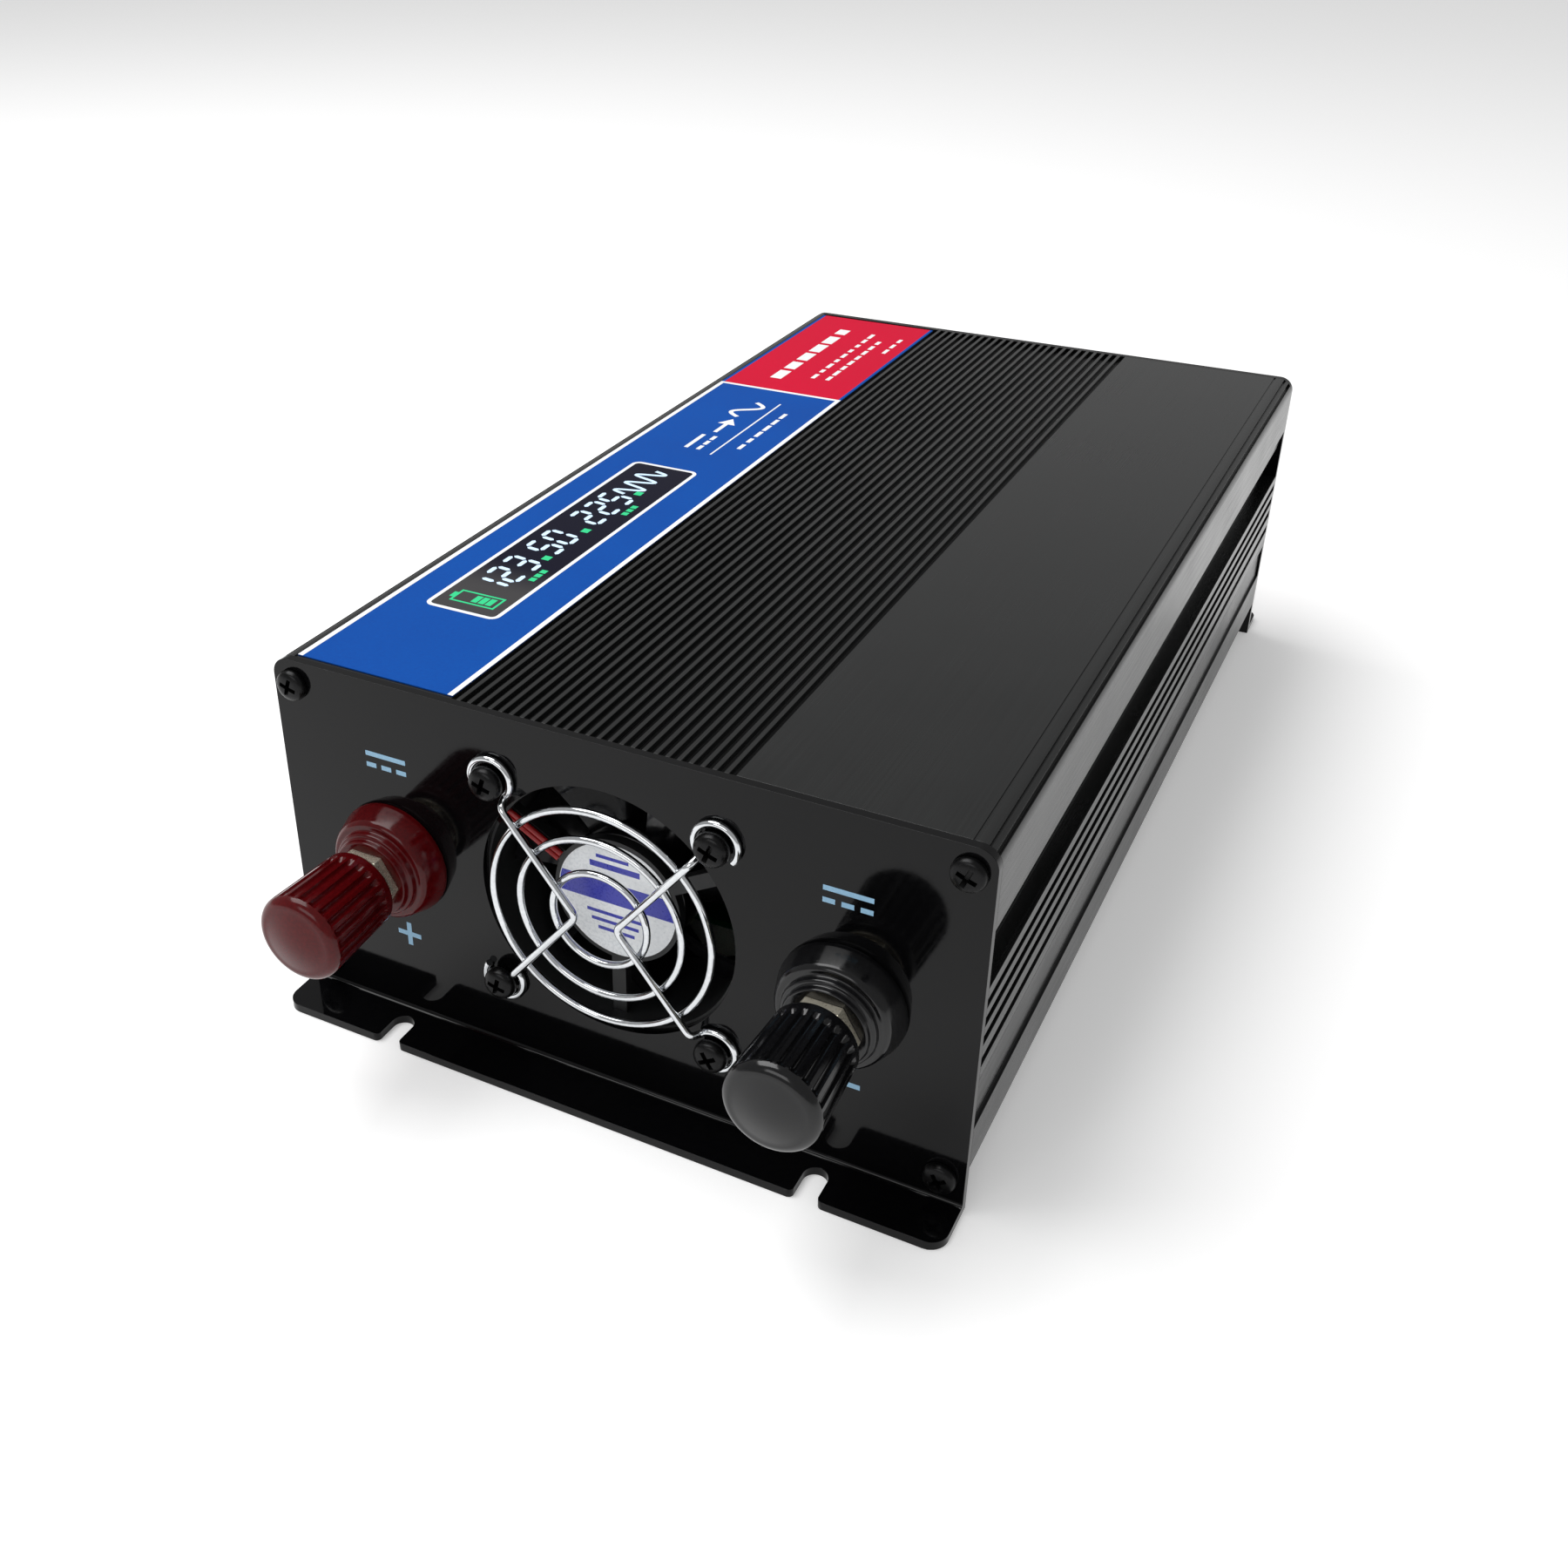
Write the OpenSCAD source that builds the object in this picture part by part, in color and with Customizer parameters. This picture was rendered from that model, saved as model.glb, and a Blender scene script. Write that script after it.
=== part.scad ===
// Power inverter: an extruded aluminium case between two bent steel end panels, with a guarded
// intake fan and two binding posts in front, and a mains outlet and a rocker switch at the back.
// X runs across the front, Y from front to back, Z up. The origin lies on the resting plane,
// under the centre of the box that the whole object fills.

/* [Case] */
// Width across the case and the end panels
body_w = 157; // [155:1:160]
// Height from the resting plane to the top of the case
body_h = 85; // [84:1:88]
// Length over the outer faces of the two end panels
body_l = 280; // [275:1:300]
// Radius of the two long top edges
edge_r = 4; // [3:0.5:5]
// Height of the seam between the top shell and the base shell
seam_z = 33; // [32:0.5:34]
// Thickness of the top wall
top_wall = 3; // [2.8:0.1:4]
// Thickness of the floor
floor_t = 2.5; // [2:0.5:3]

/* [Cooling ribs] */
// Number of ribs on top
rib_count = 25; // [10:1:25]
// Distance from one rib to the next
rib_pitch = 2.46; // [2.2:0.02:2.5]
// Width of the gap between two ribs
rib_gap = 1.45; // [1:0.05:1.6]
// Depth of the gap between two ribs
rib_depth = 1.3; // [0.8:0.1:1.6]

/* [End panels] */
// Thickness of the bent sheet
panel_t = 2; // [1.5:0.1:2]
// Reach of the foot flange beyond the panel's outer face
flange_l = 11.5; // [10:0.5:14]
// Width of the open slots in the foot flanges
slot_w = 5.2; // [4.5:0.1:6]
// Depth of the open slots from the flange's free edge
slot_l = 8.2; // [7:0.1:8.5]
// Distance between the two slots of one flange
slot_spacing = 100; // [90:1:110]
// Distance between the panel screws across the case
screw_spacing = 147; // [146:0.5:147]

/* [Fan] */
// Side of the square fan
fan_size = 60; // [60:1:60]
// Depth of the fan
fan_depth = 25; // [20:1:25]
// Distance between the fan's screws
fan_screw_spacing = 50; // [50:1:50]
// Height of the fan's centre
fan_z = 45.5; // [44:0.5:46]
// Diameter of the intake hole in the front panel
intake_d = 58; // [54:1:58]

/* [Binding posts] */
// Distance between the two posts
post_spacing = 103; // [100:1:104]
// Height of the posts
post_z = 43; // [40:1:46]
// Reach of a knob beyond the panel's outer face
knob_reach = 34.5; // [34:0.5:38]
// Widest diameter of a knob
knob_d = 19.4; // [18:0.2:21]
// Number of grips around a knob
knob_grips = 24; // [18:1:28]
// Diameter of the threaded stud
stud_d = 8; // [8:1:8]

/* [Display] */
// Width of the display's opening
window_w = 17.2; // [16:0.2:18]
// Length of the display's opening
window_l = 94.5; // [80:0.5:96]
// Distance of the display's opening from the front
window_y = 35.5; // [35:0.5:45]
// Width of the printed film on top
label_w = 38.9; // [36:0.1:39]

/* [Hidden] */
$fn = 48;
eps = 0.01;
overall_l = knob_reach + body_l + flange_l;
front_y = knob_reach - overall_l / 2;
rear_y = front_y + body_l;
half_w = body_w / 2;
// The cavity of the shells, and the thinner walls beside it
cavity_half = half_w - 6.5;
wall_in = half_w - 2.5;
top_in = body_h - top_wall;
floor_z = 2.5;
floor_top = floor_z + floor_t;
foot_step_z = 10.6;
foot_in = half_w - 2.5;
screw_x = screw_spacing / 2;
screw_top_z = body_h - 5.5;
screw_low_z = 8;
thread_d = 3;
// The ribs fill the middle of the top, right of the printed film
rib_x0 = -half_w + 44;
label_x = -half_w + 4.4;
label_t = 0.3;
window_x = label_x + label_w / 2 - window_w / 2 - 0.9;
// The boards
board_z = 14;
board_t = 1.6;
board_top = board_z + board_t;
board_w = 146;
board_y0 = 44;
board_y1 = 236;
display_z = 74;
// The fan's hub and rotor
fan_bore = fan_size - 3;
hub_recess = 2.8;
hub_d = 29;
lead_angle = 150;
rotor_d = 55.6;
// The post's stack, outward from the panel's outer face
collar_h = 9.2;
post_nut_h = 2.5;
washer_h = 0.8;
knob_z = collar_h + post_nut_h + washer_h + 0.1;
stud_out = 26.5;
stud_in = 15;
run_fit = 0.05;
bush_h = 3;
lug_t = 1.6;
lug_barrel_d = 8;
lug_z = -panel_t - bush_h - lug_t;
// The outlet and the switch, in the rear panel's own directions
outlet_x = 34;
outlet_z = 45;
outlet_d = 39.5;
outlet_depth = 17.5;
switch_x = -50;
switch_z = 45;
rocker_tilt = 10;

// ---- Placing ----

module both_sides() {
    children();
    mirror([1, 0, 0]) children();
}

// A flat outline in X and Z, pulled along the case between two distances from the front
module along_case(y0, y1) {
    translate([0, front_y + y1, 0]) rotate([90, 0, 0]) linear_extrude(height = y1 - y0) children();
}

// Local Z points out of the front panel, local X to the right, local Y up
module on_front(x, z) {
    translate([x, front_y, z]) rotate([90, 0, 0]) children();
}

// Local Z points out of the rear panel, local X to the right as seen from behind, local Y up
module on_rear(x, z) {
    translate([-x, rear_y, z]) rotate([90, 0, 180]) children();
}

module at_posts() {
    for (x = [-post_spacing / 2, post_spacing / 2]) on_front(x, post_z) children();
}

module at_fan_corners() {
    for (x = [-1, 1], z = [-1, 1])
        on_front(x * fan_screw_spacing / 2, fan_z + z * fan_screw_spacing / 2) children();
}

module tube(outer_d, inner_d, h) {
    difference() {
        cylinder(d = outer_d, h = h);
        translate([0, 0, -1]) cylinder(d = inner_d, h = h + 2);
    }
}

module hexagon_nut(across_flats, bore, h) {
    difference() {
        cylinder(d = across_flats / cos(30), h = h, $fn = 6);
        translate([0, 0, -1]) cylinder(d = bore, h = h + 2);
    }
}

// A pan-head screw with a cross recess: head above z = 0, shank below
module pan_screw(shank_d, head_d, head_h, length) {
    blade = head_d * 0.62;
    slit = head_d * 0.16;
    difference() {
        union() {
            rotate_extrude() polygon([[0, 0], [head_d / 2, 0], [head_d / 2, head_h * 0.45],
                [head_d * 0.44, head_h * 0.75], [head_d * 0.3, head_h], [0, head_h]]);
            translate([0, 0, -length]) cylinder(d = shank_d, h = length + eps);
        }
        translate([-blade / 2, -slit / 2, head_h * 0.4]) cube([blade, slit, head_h]);
        translate([-slit / 2, -blade / 2, head_h * 0.4]) cube([slit, blade, head_h]);
    }
}

// A quarter bend of round wire: starts at the origin along +Z and turns towards +X
module wire_bend(d, r) {
    translate([r, 0, 0]) rotate([90, 0, 0]) rotate_extrude(angle = -90)
        translate([-r, 0]) circle(d = d);
}

// ---- Case ----

module top_outline() {
    difference() {
        translate([-half_w, seam_z]) square([body_w, body_h - seam_z]);
        both_sides() translate([half_w - edge_r, body_h - edge_r]) difference() {
            square(edge_r + 1);
            circle(r = edge_r);
        }
    }
}

// The cuts in one side of the top shell: the deep channel, the fins and the hollows behind them
module side_cuts() {
    channel_z = [54.4, 64.7];
    channel_depth = 4;
    lip_top = 66.8;
    lip_depth = 0.9;
    strip_low = 68.8;
    groove_depth = 2;
    fin_gaps = [[49.9, 52], [45.5, 47.8], [41.1, 43.4]];
    fin_depth = 3;
    band_z = [35.9, 38.2];
    band_depth = 0.7;
    hollow = 4;
    translate([half_w - channel_depth, channel_z[0]])
        square([channel_depth + 1, channel_z[1] - channel_z[0]]);
    translate([half_w - lip_depth, channel_z[1] - eps]) square([lip_depth + 1, lip_top - channel_z[1]]);
    translate([half_w - groove_depth, lip_top - 2 * eps])
        square([groove_depth + 1, strip_low - lip_top]);
    for (gap = fin_gaps) translate([half_w - fin_depth, gap[0]])
        square([fin_depth + 1, gap[1] - gap[0]]);
    translate([half_w - band_depth, band_z[0]]) square([band_depth + 1, band_z[1] - band_z[0]]);
    translate([cavity_half - eps, 70.2]) square([hollow, 5]);
    translate([cavity_half - eps, seam_z - 1]) square([hollow, 6.5]);
    translate([screw_x, screw_top_z]) circle(d = thread_d);
    // The fine grooves beside and on the rounded edge
    translate([half_w - 5.6, body_h - 0.3]) square([0.5, 1]);
    translate([half_w - 2.7, body_h - 0.9]) square([0.6, 1.5]);
    translate([half_w - edge_r, body_h - edge_r]) rotate(40) translate([edge_r - 0.9, -0.5])
        square([2, 1]);
}

module top_shell() {
    boss_r = 3.6;
    color("#232427") difference() {
        along_case(panel_t, body_l - panel_t) difference() {
            top_outline();
            difference() {
                translate([-cavity_half, seam_z - 1])
                    square([2 * cavity_half, top_in - seam_z + 1]);
                both_sides() translate([screw_x, screw_top_z]) circle(r = boss_r);
            }
            both_sides() side_cuts();
            for (i = [0 : rib_count])
                translate([rib_x0 + i * rib_pitch - rib_gap / 2, body_h - rib_depth])
                    square([rib_gap, rib_depth + 1]);
            translate([label_x, body_h - label_t]) square([label_w, 1]);
        }
        translate([window_x, front_y + window_y, top_in - 1]) cube([window_w, window_l, 9]);
        at_display_screws() translate([0, 0, top_in - 1]) cylinder(d = 2.5, h = 2.5);
    }
}

module base_shell() {
    tongue = [1.3, 3];
    tongue_gap = 0.1;
    tongue_in = wall_in - tongue_gap - tongue[0];
    floor_rib_z = 13;
    band_z = [20.6, 30.9];
    band_depth = 0.7;
    color("#2b2c2f") along_case(panel_t, body_l - panel_t) difference() {
        union() {
            translate([-half_w, foot_step_z])
                square([body_w, seam_z + tongue[1] - foot_step_z]);
            translate([-foot_in, floor_z]) square([2 * foot_in, foot_step_z - floor_z + eps]);
        }
        both_sides() translate([wall_in - tongue_gap, seam_z]) square([3, tongue[1] + 1]);
        translate([-tongue_in, floor_rib_z]) square([2 * tongue_in, seam_z]);
        translate([-cavity_half + 3, floor_top]) square([2 * cavity_half - 6, 9]);
        both_sides() translate([wall_in - 2, floor_rib_z]) square([2, seam_z - floor_rib_z - 1.2]);
        both_sides() translate([screw_x, screw_low_z]) circle(d = thread_d);
        both_sides() translate([half_w - band_depth, band_z[0]])
            square([band_depth + 1, band_z[1] - band_z[0]]);
    }
}

// The panel's sheet: an upright plate, a bend and the foot flange, with local Z outward
module panel_sheet() {
    bend_r = 1;
    corner = 4;
    difference() {
        union() {
            translate([-half_w, 0, -panel_t]) cube([body_w, body_h, panel_t]);
            translate([-half_w, 0, -panel_t]) cube([body_w, panel_t, panel_t + flange_l]);
            translate([-half_w, panel_t - eps, -eps]) difference() {
                cube([body_w, bend_r, bend_r]);
                translate([-1, bend_r, bend_r]) rotate([0, 90, 0])
                    cylinder(r = bend_r, h = body_w + 2);
            }
        }
        both_sides() {
            translate([half_w - corner, body_h - corner, -panel_t - 1]) difference() {
                cube([corner + 1, corner + 1, panel_t + 2]);
                translate([0, 0, -1]) cylinder(r = corner, h = panel_t + 4);
            }
            translate([half_w - corner, panel_t + 1, flange_l - corner]) rotate([90, 0, 0])
                difference() {
                    cube([corner + 1, corner + 1, panel_t + 2]);
                    translate([0, 0, -1]) cylinder(r = corner, h = panel_t + 4);
                }
            translate([slot_spacing / 2, 0, 0]) open_slot();
            for (z = [screw_top_z, screw_low_z]) translate([screw_x, z, -panel_t - 1])
                cylinder(d = thread_d + 0.4, h = panel_t + 2);
        }
    }
}

// A slot that is open at the flange's free edge, with a rounded mouth
module open_slot() {
    mouth = 1.2;
    end_z = flange_l - slot_l + slot_w / 2;
    rotate([-90, 0, 0]) translate([0, 0, -1]) {
        translate([0, -end_z, 0]) cylinder(d = slot_w, h = panel_t + 2);
        translate([-slot_w / 2, -flange_l - 1, 0]) cube([slot_w, flange_l + 1 - end_z, panel_t + 2]);
        for (side = [-1, 1]) translate([side * slot_w / 2, -flange_l, 0]) difference() {
            translate([-mouth, -mouth, 0]) cube([2 * mouth, 2 * mouth, panel_t + 2]);
            translate([side * mouth, mouth, -1]) cylinder(r = mouth, h = panel_t + 4);
        }
    }
}

module front_panel() {
    color("#050506") difference() {
        on_front(0, 0) panel_sheet();
        on_front(0, fan_z) translate([0, 0, -panel_t - 1])
            cylinder(d = intake_d, h = panel_t + 2, $fn = 96);
        at_fan_corners() translate([0, 0, -panel_t - 1]) cylinder(d = 4.3, h = panel_t + 2);
        at_posts() translate([0, 0, -panel_t - 1]) cylinder(d = 12, h = panel_t + 2);
    }
}

module rear_panel() {
    vent_w = 3;
    vent_h = 46;
    color("#050506") difference() {
        on_rear(0, 0) panel_sheet();
        on_rear(outlet_x, outlet_z) translate([0, 0, -panel_t - 1])
            cylinder(d = 45, h = panel_t + 2, $fn = 96);
        for (side = [-1, 1]) on_rear(outlet_x + side * 25, outlet_z) translate([0, 0, -panel_t - 1])
            cylinder(d = 3.4, h = panel_t + 2);
        on_rear(switch_x, switch_z) translate([-11.1, -14.1, -panel_t - 1])
            cube([22.2, 28.2, panel_t + 2]);
        for (i = [0 : 5]) on_rear(-26 + 6 * i, outlet_z) translate([-vent_w / 2, -vent_h / 2, -9])
            cube([vent_w, vent_h, 10]);
    }
}

module panel_screws() {
    color("#0c0c0d") for (x = [-screw_x, screw_x], z = [screw_low_z, screw_top_z]) {
        on_front(x, z) pan_screw(thread_d, 7, 2.2, 12);
        on_rear(x, z) pan_screw(thread_d, 7, 2.2, 12);
    }
}

module top_label() {
    corner_gap = 0.1;
    color("#1556ae") difference() {
        translate([label_x + corner_gap, front_y + 3, body_h - label_t])
            cube([label_w - 2 * corner_gap, body_l - 6, label_t]);
        translate([window_x - eps, front_y + window_y - eps, body_h - 1])
            cube([window_w + 2 * eps, window_l + 2 * eps, 2]);
    }
}

// ---- Display ----

module at_display_screws() {
    for (x = [-3, window_w + 3], y = [-5, window_l + 5])
        translate([window_x + x, front_y + window_y + y, 0]) children();
}

module display_lens() {
    gap = 0.1;
    color("#15152c") translate([window_x + gap, front_y + window_y + gap, body_h - 1.4])
        cube([window_w - 2 * gap, window_l - 2 * gap, 1.4]);
}

module lcd_module() {
    color("#1c1c30") translate([window_x - 0.5, front_y + window_y - 2, display_z + board_t])
        cube([window_w + 1, window_l + 4, top_in - display_z - board_t - 0.2]);
}

module display_board() {
    color("#1f5c3a") difference() {
        translate([window_x - 6.4, front_y + window_y - 8, display_z])
            cube([window_w + 12.8, window_l + 16, board_t]);
        at_display_screws() translate([0, 0, display_z - 1]) cylinder(d = 2.7, h = board_t + 2);
    }
}

module display_spacers() {
    color("silver") at_display_screws() translate([0, 0, display_z + board_t])
        tube(4.6, 2.6, top_in - display_z - board_t);
}

module display_screws() {
    color("silver") at_display_screws() translate([0, 0, display_z]) mirror([0, 0, 1])
        pan_screw(2.5, 4.6, 1.6, top_in - display_z + 1.4);
}

// ---- Fan ----

module fan_place() {
    on_front(0, fan_z) translate([0, 0, -panel_t]) children();
}

// The fan's own directions: local Z = 0 is its outer face, and it reaches back to -fan_depth
module fan_frame() {
    strut_t = 2.2;
    corner_t = 4;
    color("#101113") fan_place() {
        difference() {
            translate([-fan_size / 2, -fan_size / 2, -fan_depth])
                cube([fan_size, fan_size, fan_depth]);
            translate([0, 0, -fan_depth - 1]) cylinder(d = fan_bore, h = fan_depth + 2, $fn = 96);
            for (x = [-1, 1], y = [-1, 1]) translate([x, y, 0] * fan_screw_spacing / 2)
                translate([0, 0, -fan_depth - 1]) cylinder(d = 4.3, h = fan_depth + 2);
            fan_side_cut(corner_t);
            rotate([0, 0, lead_angle]) translate([fan_bore / 2 - 3, -1.6, -hub_recess])
                cube([12, 3.2, hub_recess + 1]);
        }
        for (a = [30, lead_angle, 270]) rotate([0, 0, a]) translate([hub_d / 2 - 1, -1.6,
            -hub_recess - strut_t]) cube([fan_bore / 2 - hub_d / 2 + 1.6, 3.2, strut_t]);
        translate([0, 0, -hub_recess - strut_t]) cylinder(d = hub_d, h = strut_t);
        translate([0, 0, -fan_depth + 6]) tube(9, 6, fan_depth - 6 - hub_recess - eps);
    }
}

// The space between the fan's front and rear flanges, outside its round duct
module fan_side_cut(corner_t) {
    translate([0, 0, -fan_depth + corner_t]) difference() {
        translate([-fan_size / 2 - 1, -fan_size / 2 - 1, 0])
            cube([fan_size + 2, fan_size + 2, fan_depth - 2 * corner_t]);
        translate([0, 0, -1]) cylinder(d = fan_bore + 2.6, h = fan_depth);
        for (x = [-1, 1], y = [-1, 1]) translate([x, y, 0] * fan_screw_spacing / 2)
            translate([0, 0, -1]) cylinder(d = 7.4, h = fan_depth);
    }
}

module fan_stator() {
    color("#b5651d") fan_place() translate([0, 0, -fan_depth + 9])
        for (a = [0 : 90 : 270]) rotate([0, 0, a]) difference() {
            translate([4.6, -2.6, 0]) cube([6.2, 5.2, 9]);
            translate([0, 0, -1]) cylinder(d = 9.2, h = 12);
        }
}

module fan_bearings() {
    color("#c9a227") fan_place() for (z = [-hub_recess - 6.4, -fan_depth + 6.2])
        translate([0, 0, z]) tube(6, 2 * (1.5 + run_fit), 3.4);
}

module fan_rotor() {
    cup_z = -fan_depth + 2;
    cup_h = fan_depth - hub_recess - 2.2 - 3;
    cup_d = 28;
    blades = 7;
    blade_t = 1.2;
    color("#0b0b0c") fan_place() {
        difference() {
            translate([0, 0, cup_z]) cylinder(d = cup_d, h = cup_h);
            translate([0, 0, cup_z + 2]) cylinder(d = cup_d - 4, h = cup_h);
            translate([0, 0, cup_z - 1]) cylinder(d = 3, h = 4);
        }
        intersection() {
            translate([0, 0, cup_z]) tube(rotor_d, cup_d - 1, cup_h);
            for (i = [0 : blades - 1]) rotate([0, 0, i * 360 / blades])
                translate([cup_d / 4 + rotor_d / 4, 0, cup_z + cup_h / 2]) rotate([55, 0, 0])
                    translate([-12, -11.5, -blade_t / 2]) cube([24, 23, blade_t]);
        }
    }
}

module fan_shaft() {
    color("silver") fan_place() translate([0, 0, -fan_depth + 2])
        cylinder(d = 3, h = fan_depth - hub_recess - 2.2 - 2.4);
}

module fan_sticker() {
    color("#dfe6ee") fan_place() translate([0, 0, -hub_recess]) cylinder(d = 27, h = 0.2);
}

// Concentric wire rings on two bent legs, each with an open eye around a screw at its two ends
module fan_guard() {
    wire_d = 1.6;
    ring_z = 2.2;
    leg_z = ring_z + wire_d - 0.1;
    eye_r = 4.6;
    eye_z = wire_d / 2;
    reach = fan_screw_spacing / 2;
    meet = reach - eye_r * cos(45);
    inner = 4.5;
    weld_d = wire_d * 1.15;
    color("#d9dcdf") on_front(0, fan_z) {
        for (d = [50, 37, 21.5]) translate([0, 0, ring_z])
            rotate_extrude($fn = 96) translate([d / 2, 0]) circle(d = wire_d);
        for (side = [0, 180]) rotate([0, 0, side]) {
            translate([inner, 0, leg_z]) sphere(d = weld_d);
            for (up = [-1, 1]) {
                run = [meet - inner, up * meet];
                sweep = side == 180 && up == -1 ? 250 : -265;
                translate([inner, 0, leg_z]) rotate([0, 0, atan2(run[1], run[0])])
                    rotate([0, 90, 0]) cylinder(d = wire_d, h = norm(run));
                translate([meet, up * meet, 0.1]) cylinder(d = wire_d * 0.9, h = leg_z - 0.1);
                translate([meet, up * meet, leg_z]) sphere(d = weld_d);
                translate([reach, up * reach, eye_z]) rotate([0, 0, up > 0 ? 225 : 135])
                    rotate_extrude(angle = sweep) translate([eye_r, 0]) circle(d = wire_d);
            }
        }
    }
}

module fan_screws() {
    color("#111112") at_fan_corners() translate([0, 0, 1.6]) pan_screw(4, 7.4, 2.8,
        1.6 + panel_t + fan_depth + 4);
}

module fan_nuts() {
    color("silver") at_fan_corners() translate([0, 0, -panel_t - fan_depth - 3.2])
        hexagon_nut(7, 4, 3.2);
}

// Two thin wires from the hub along the upper left strut, out through a notch in the frame,
// back past the fan and down to the board
module fan_lead() {
    wire_d = 1.2;
    start = hub_d / 2 + 0.2;
    bend = 3;
    level = -hub_recess + wire_d / 2;
    out = fan_size / 2 / cos(180 - lead_angle) - start + 1;
    exit_r = start + out + bend;
    back = 38;
    color("#b01018") fan_place() for (shift = [-0.7, 0.7]) {
        rotate([0, 0, lead_angle]) translate([start, shift, level]) {
            rotate([0, 90, 0]) cylinder(d = wire_d, h = out);
            translate([out, 0, 0]) rotate([0, 90, 0]) wire_bend(wire_d, bend);
        }
        exit = [exit_r * cos(lead_angle) - shift * sin(lead_angle),
            exit_r * sin(lead_angle) + shift * cos(lead_angle), level - bend];
        translate(exit) {
            translate([0, 0, -back]) cylinder(d = wire_d, h = back);
            translate([0, 0, -back]) rotate([180, 0, 0]) rotate([0, 0, 90]) wire_bend(wire_d, bend);
            translate([0, -bend, -back - bend]) rotate([90, 0, 0])
                cylinder(d = wire_d, h = fan_z + exit[1] - bend - board_top);
        }
    }
}

// ---- Binding posts ----

module collar() {
    spigot_d = 11.8;
    difference() {
        union() {
            rotate_extrude($fn = 72) polygon([[0, 0], [13.2, 0], [13.1, 1.2], [11.8, 5.6],
                [11.2, 6.2], [9.9, 6.2], [9.7, 7.6], [8.9, 7.8], [8.7, collar_h], [0, collar_h]]);
            translate([0, 0, -panel_t]) cylinder(d = spigot_d, h = panel_t + eps);
        }
        translate([0, 0, -panel_t - 1]) cylinder(d = stud_d, h = collar_h + panel_t + 2);
    }
}

// A fluted knob that grows a little towards its rounded outer end
module knob() {
    far = knob_reach - knob_z;
    near_r = knob_d / 2 - 0.9;
    far_r = knob_d / 2;
    cap_r = 2.2;
    dome = 1.2;
    translate([0, 0, knob_z]) difference() {
        rotate_extrude($fn = 72) polygon([[0, 0], [near_r - 0.8, 0], [near_r, 0.8],
            [far_r, far - cap_r - dome], [far_r - 0.35, far - 0.45 * cap_r - dome],
            [far_r - 1.1, far - dome - 0.1], [far_r - 4, far - 0.45], [far_r - 7, far - 0.08],
            [0, far]]);
        translate([0, 0, -1]) cylinder(d = 12, h = 12.5);
        translate([0, 0, 11]) cylinder(d = stud_d + 0.6, h = 5);
        for (i = [0 : knob_grips - 1]) rotate([0, 0, i * 360 / knob_grips])
            translate([near_r + 0.25, 0, 2]) rotate([0, 2.6, 0]) cylinder(d = 1.3, h = far - 4.4);
    }
}

module knob_insert() {
    translate([0, 0, knob_z]) tube(12, stud_d + 2 * run_fit, 11.4);
}

module washer() {
    translate([0, 0, collar_h + post_nut_h]) tube(15, stud_d + 2 * run_fit, washer_h);
}

module red_collar() {
    color("#8c1016") on_front(-post_spacing / 2, post_z) collar();
}

module red_knob() {
    color("#8c1016") on_front(-post_spacing / 2, post_z) knob();
}

module black_collar() {
    color("#0d0d0e") on_front(post_spacing / 2, post_z) collar();
}

module black_knob() {
    color("#0d0d0e") on_front(post_spacing / 2, post_z) knob();
}

module knob_insert_red() {
    color("#c9a227") on_front(-post_spacing / 2, post_z) knob_insert();
}

module knob_insert_black() {
    color("#c9a227") on_front(post_spacing / 2, post_z) knob_insert();
}

module washer_red() {
    color("#d8c9a0") on_front(-post_spacing / 2, post_z) washer();
}

module washer_black() {
    color("#d8c9a0") on_front(post_spacing / 2, post_z) washer();
}

module post_studs() {
    color("#c9a227") at_posts() translate([0, 0, -stud_in]) cylinder(d = stud_d, h = stud_in + stud_out);
}

module post_nuts() {
    color("#d8d2c0") at_posts() translate([0, 0, collar_h]) hexagon_nut(13, stud_d, post_nut_h);
}

module post_bushes() {
    color("#1a1a1b") at_posts() translate([0, 0, -panel_t - bush_h]) tube(22, stud_d, bush_h);
}

module post_lugs() {
    color("#c87a4a") at_posts() difference() {
        union() {
            translate([0, 0, lug_z]) cylinder(d = 16, h = lug_t);
            translate([-3.5, -13, lug_z]) cube([7, 10, lug_t]);
            translate([0, -12, lug_z - lug_barrel_d / 2 + lug_t]) rotate([90, 0, 0])
                cylinder(d = lug_barrel_d, h = 5.5);
        }
        translate([0, 0, lug_z - 1]) cylinder(d = stud_d, h = 4);
        translate([0, -14, lug_z - lug_barrel_d / 2 + lug_t]) rotate([90, 0, 0])
            cylinder(d = 6, h = 9);
    }
}

module post_inner_nuts() {
    color("#c9a227") at_posts() translate([0, 0, lug_z - 6]) hexagon_nut(13, stud_d, 6);
}

// A battery lead from a lug's barrel down, round a quarter bend and back onto the board
module dc_lead() {
    wire_d = 6;
    bend = 6.5;
    start = 14;
    barrel_z = lug_z - lug_barrel_d / 2 + lug_t;
    drop = post_z - start - bend - board_top - wire_d / 2 - 0.1;
    back = board_y0 + 8 + barrel_z - bend;
    translate([0, -start, barrel_z]) {
        rotate([90, 0, 0]) cylinder(d = wire_d, h = drop);
        translate([0, -drop, 0]) rotate([0, 90, -90]) wire_bend(wire_d, bend);
        translate([0, -drop - bend, -bend - back]) cylinder(d = wire_d, h = back);
    }
}

module dc_lead_red() {
    color("#a01018") on_front(-post_spacing / 2, post_z) dc_lead();
}

module dc_lead_black() {
    color("#111111") on_front(post_spacing / 2, post_z) dc_lead();
}

// ---- Boards and what stands on them ----

module at_standoffs() {
    for (x = [-62, 62], y = [board_y0 + 8, 140, board_y1 - 8])
        translate([x, front_y + y, 0]) children();
}

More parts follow.
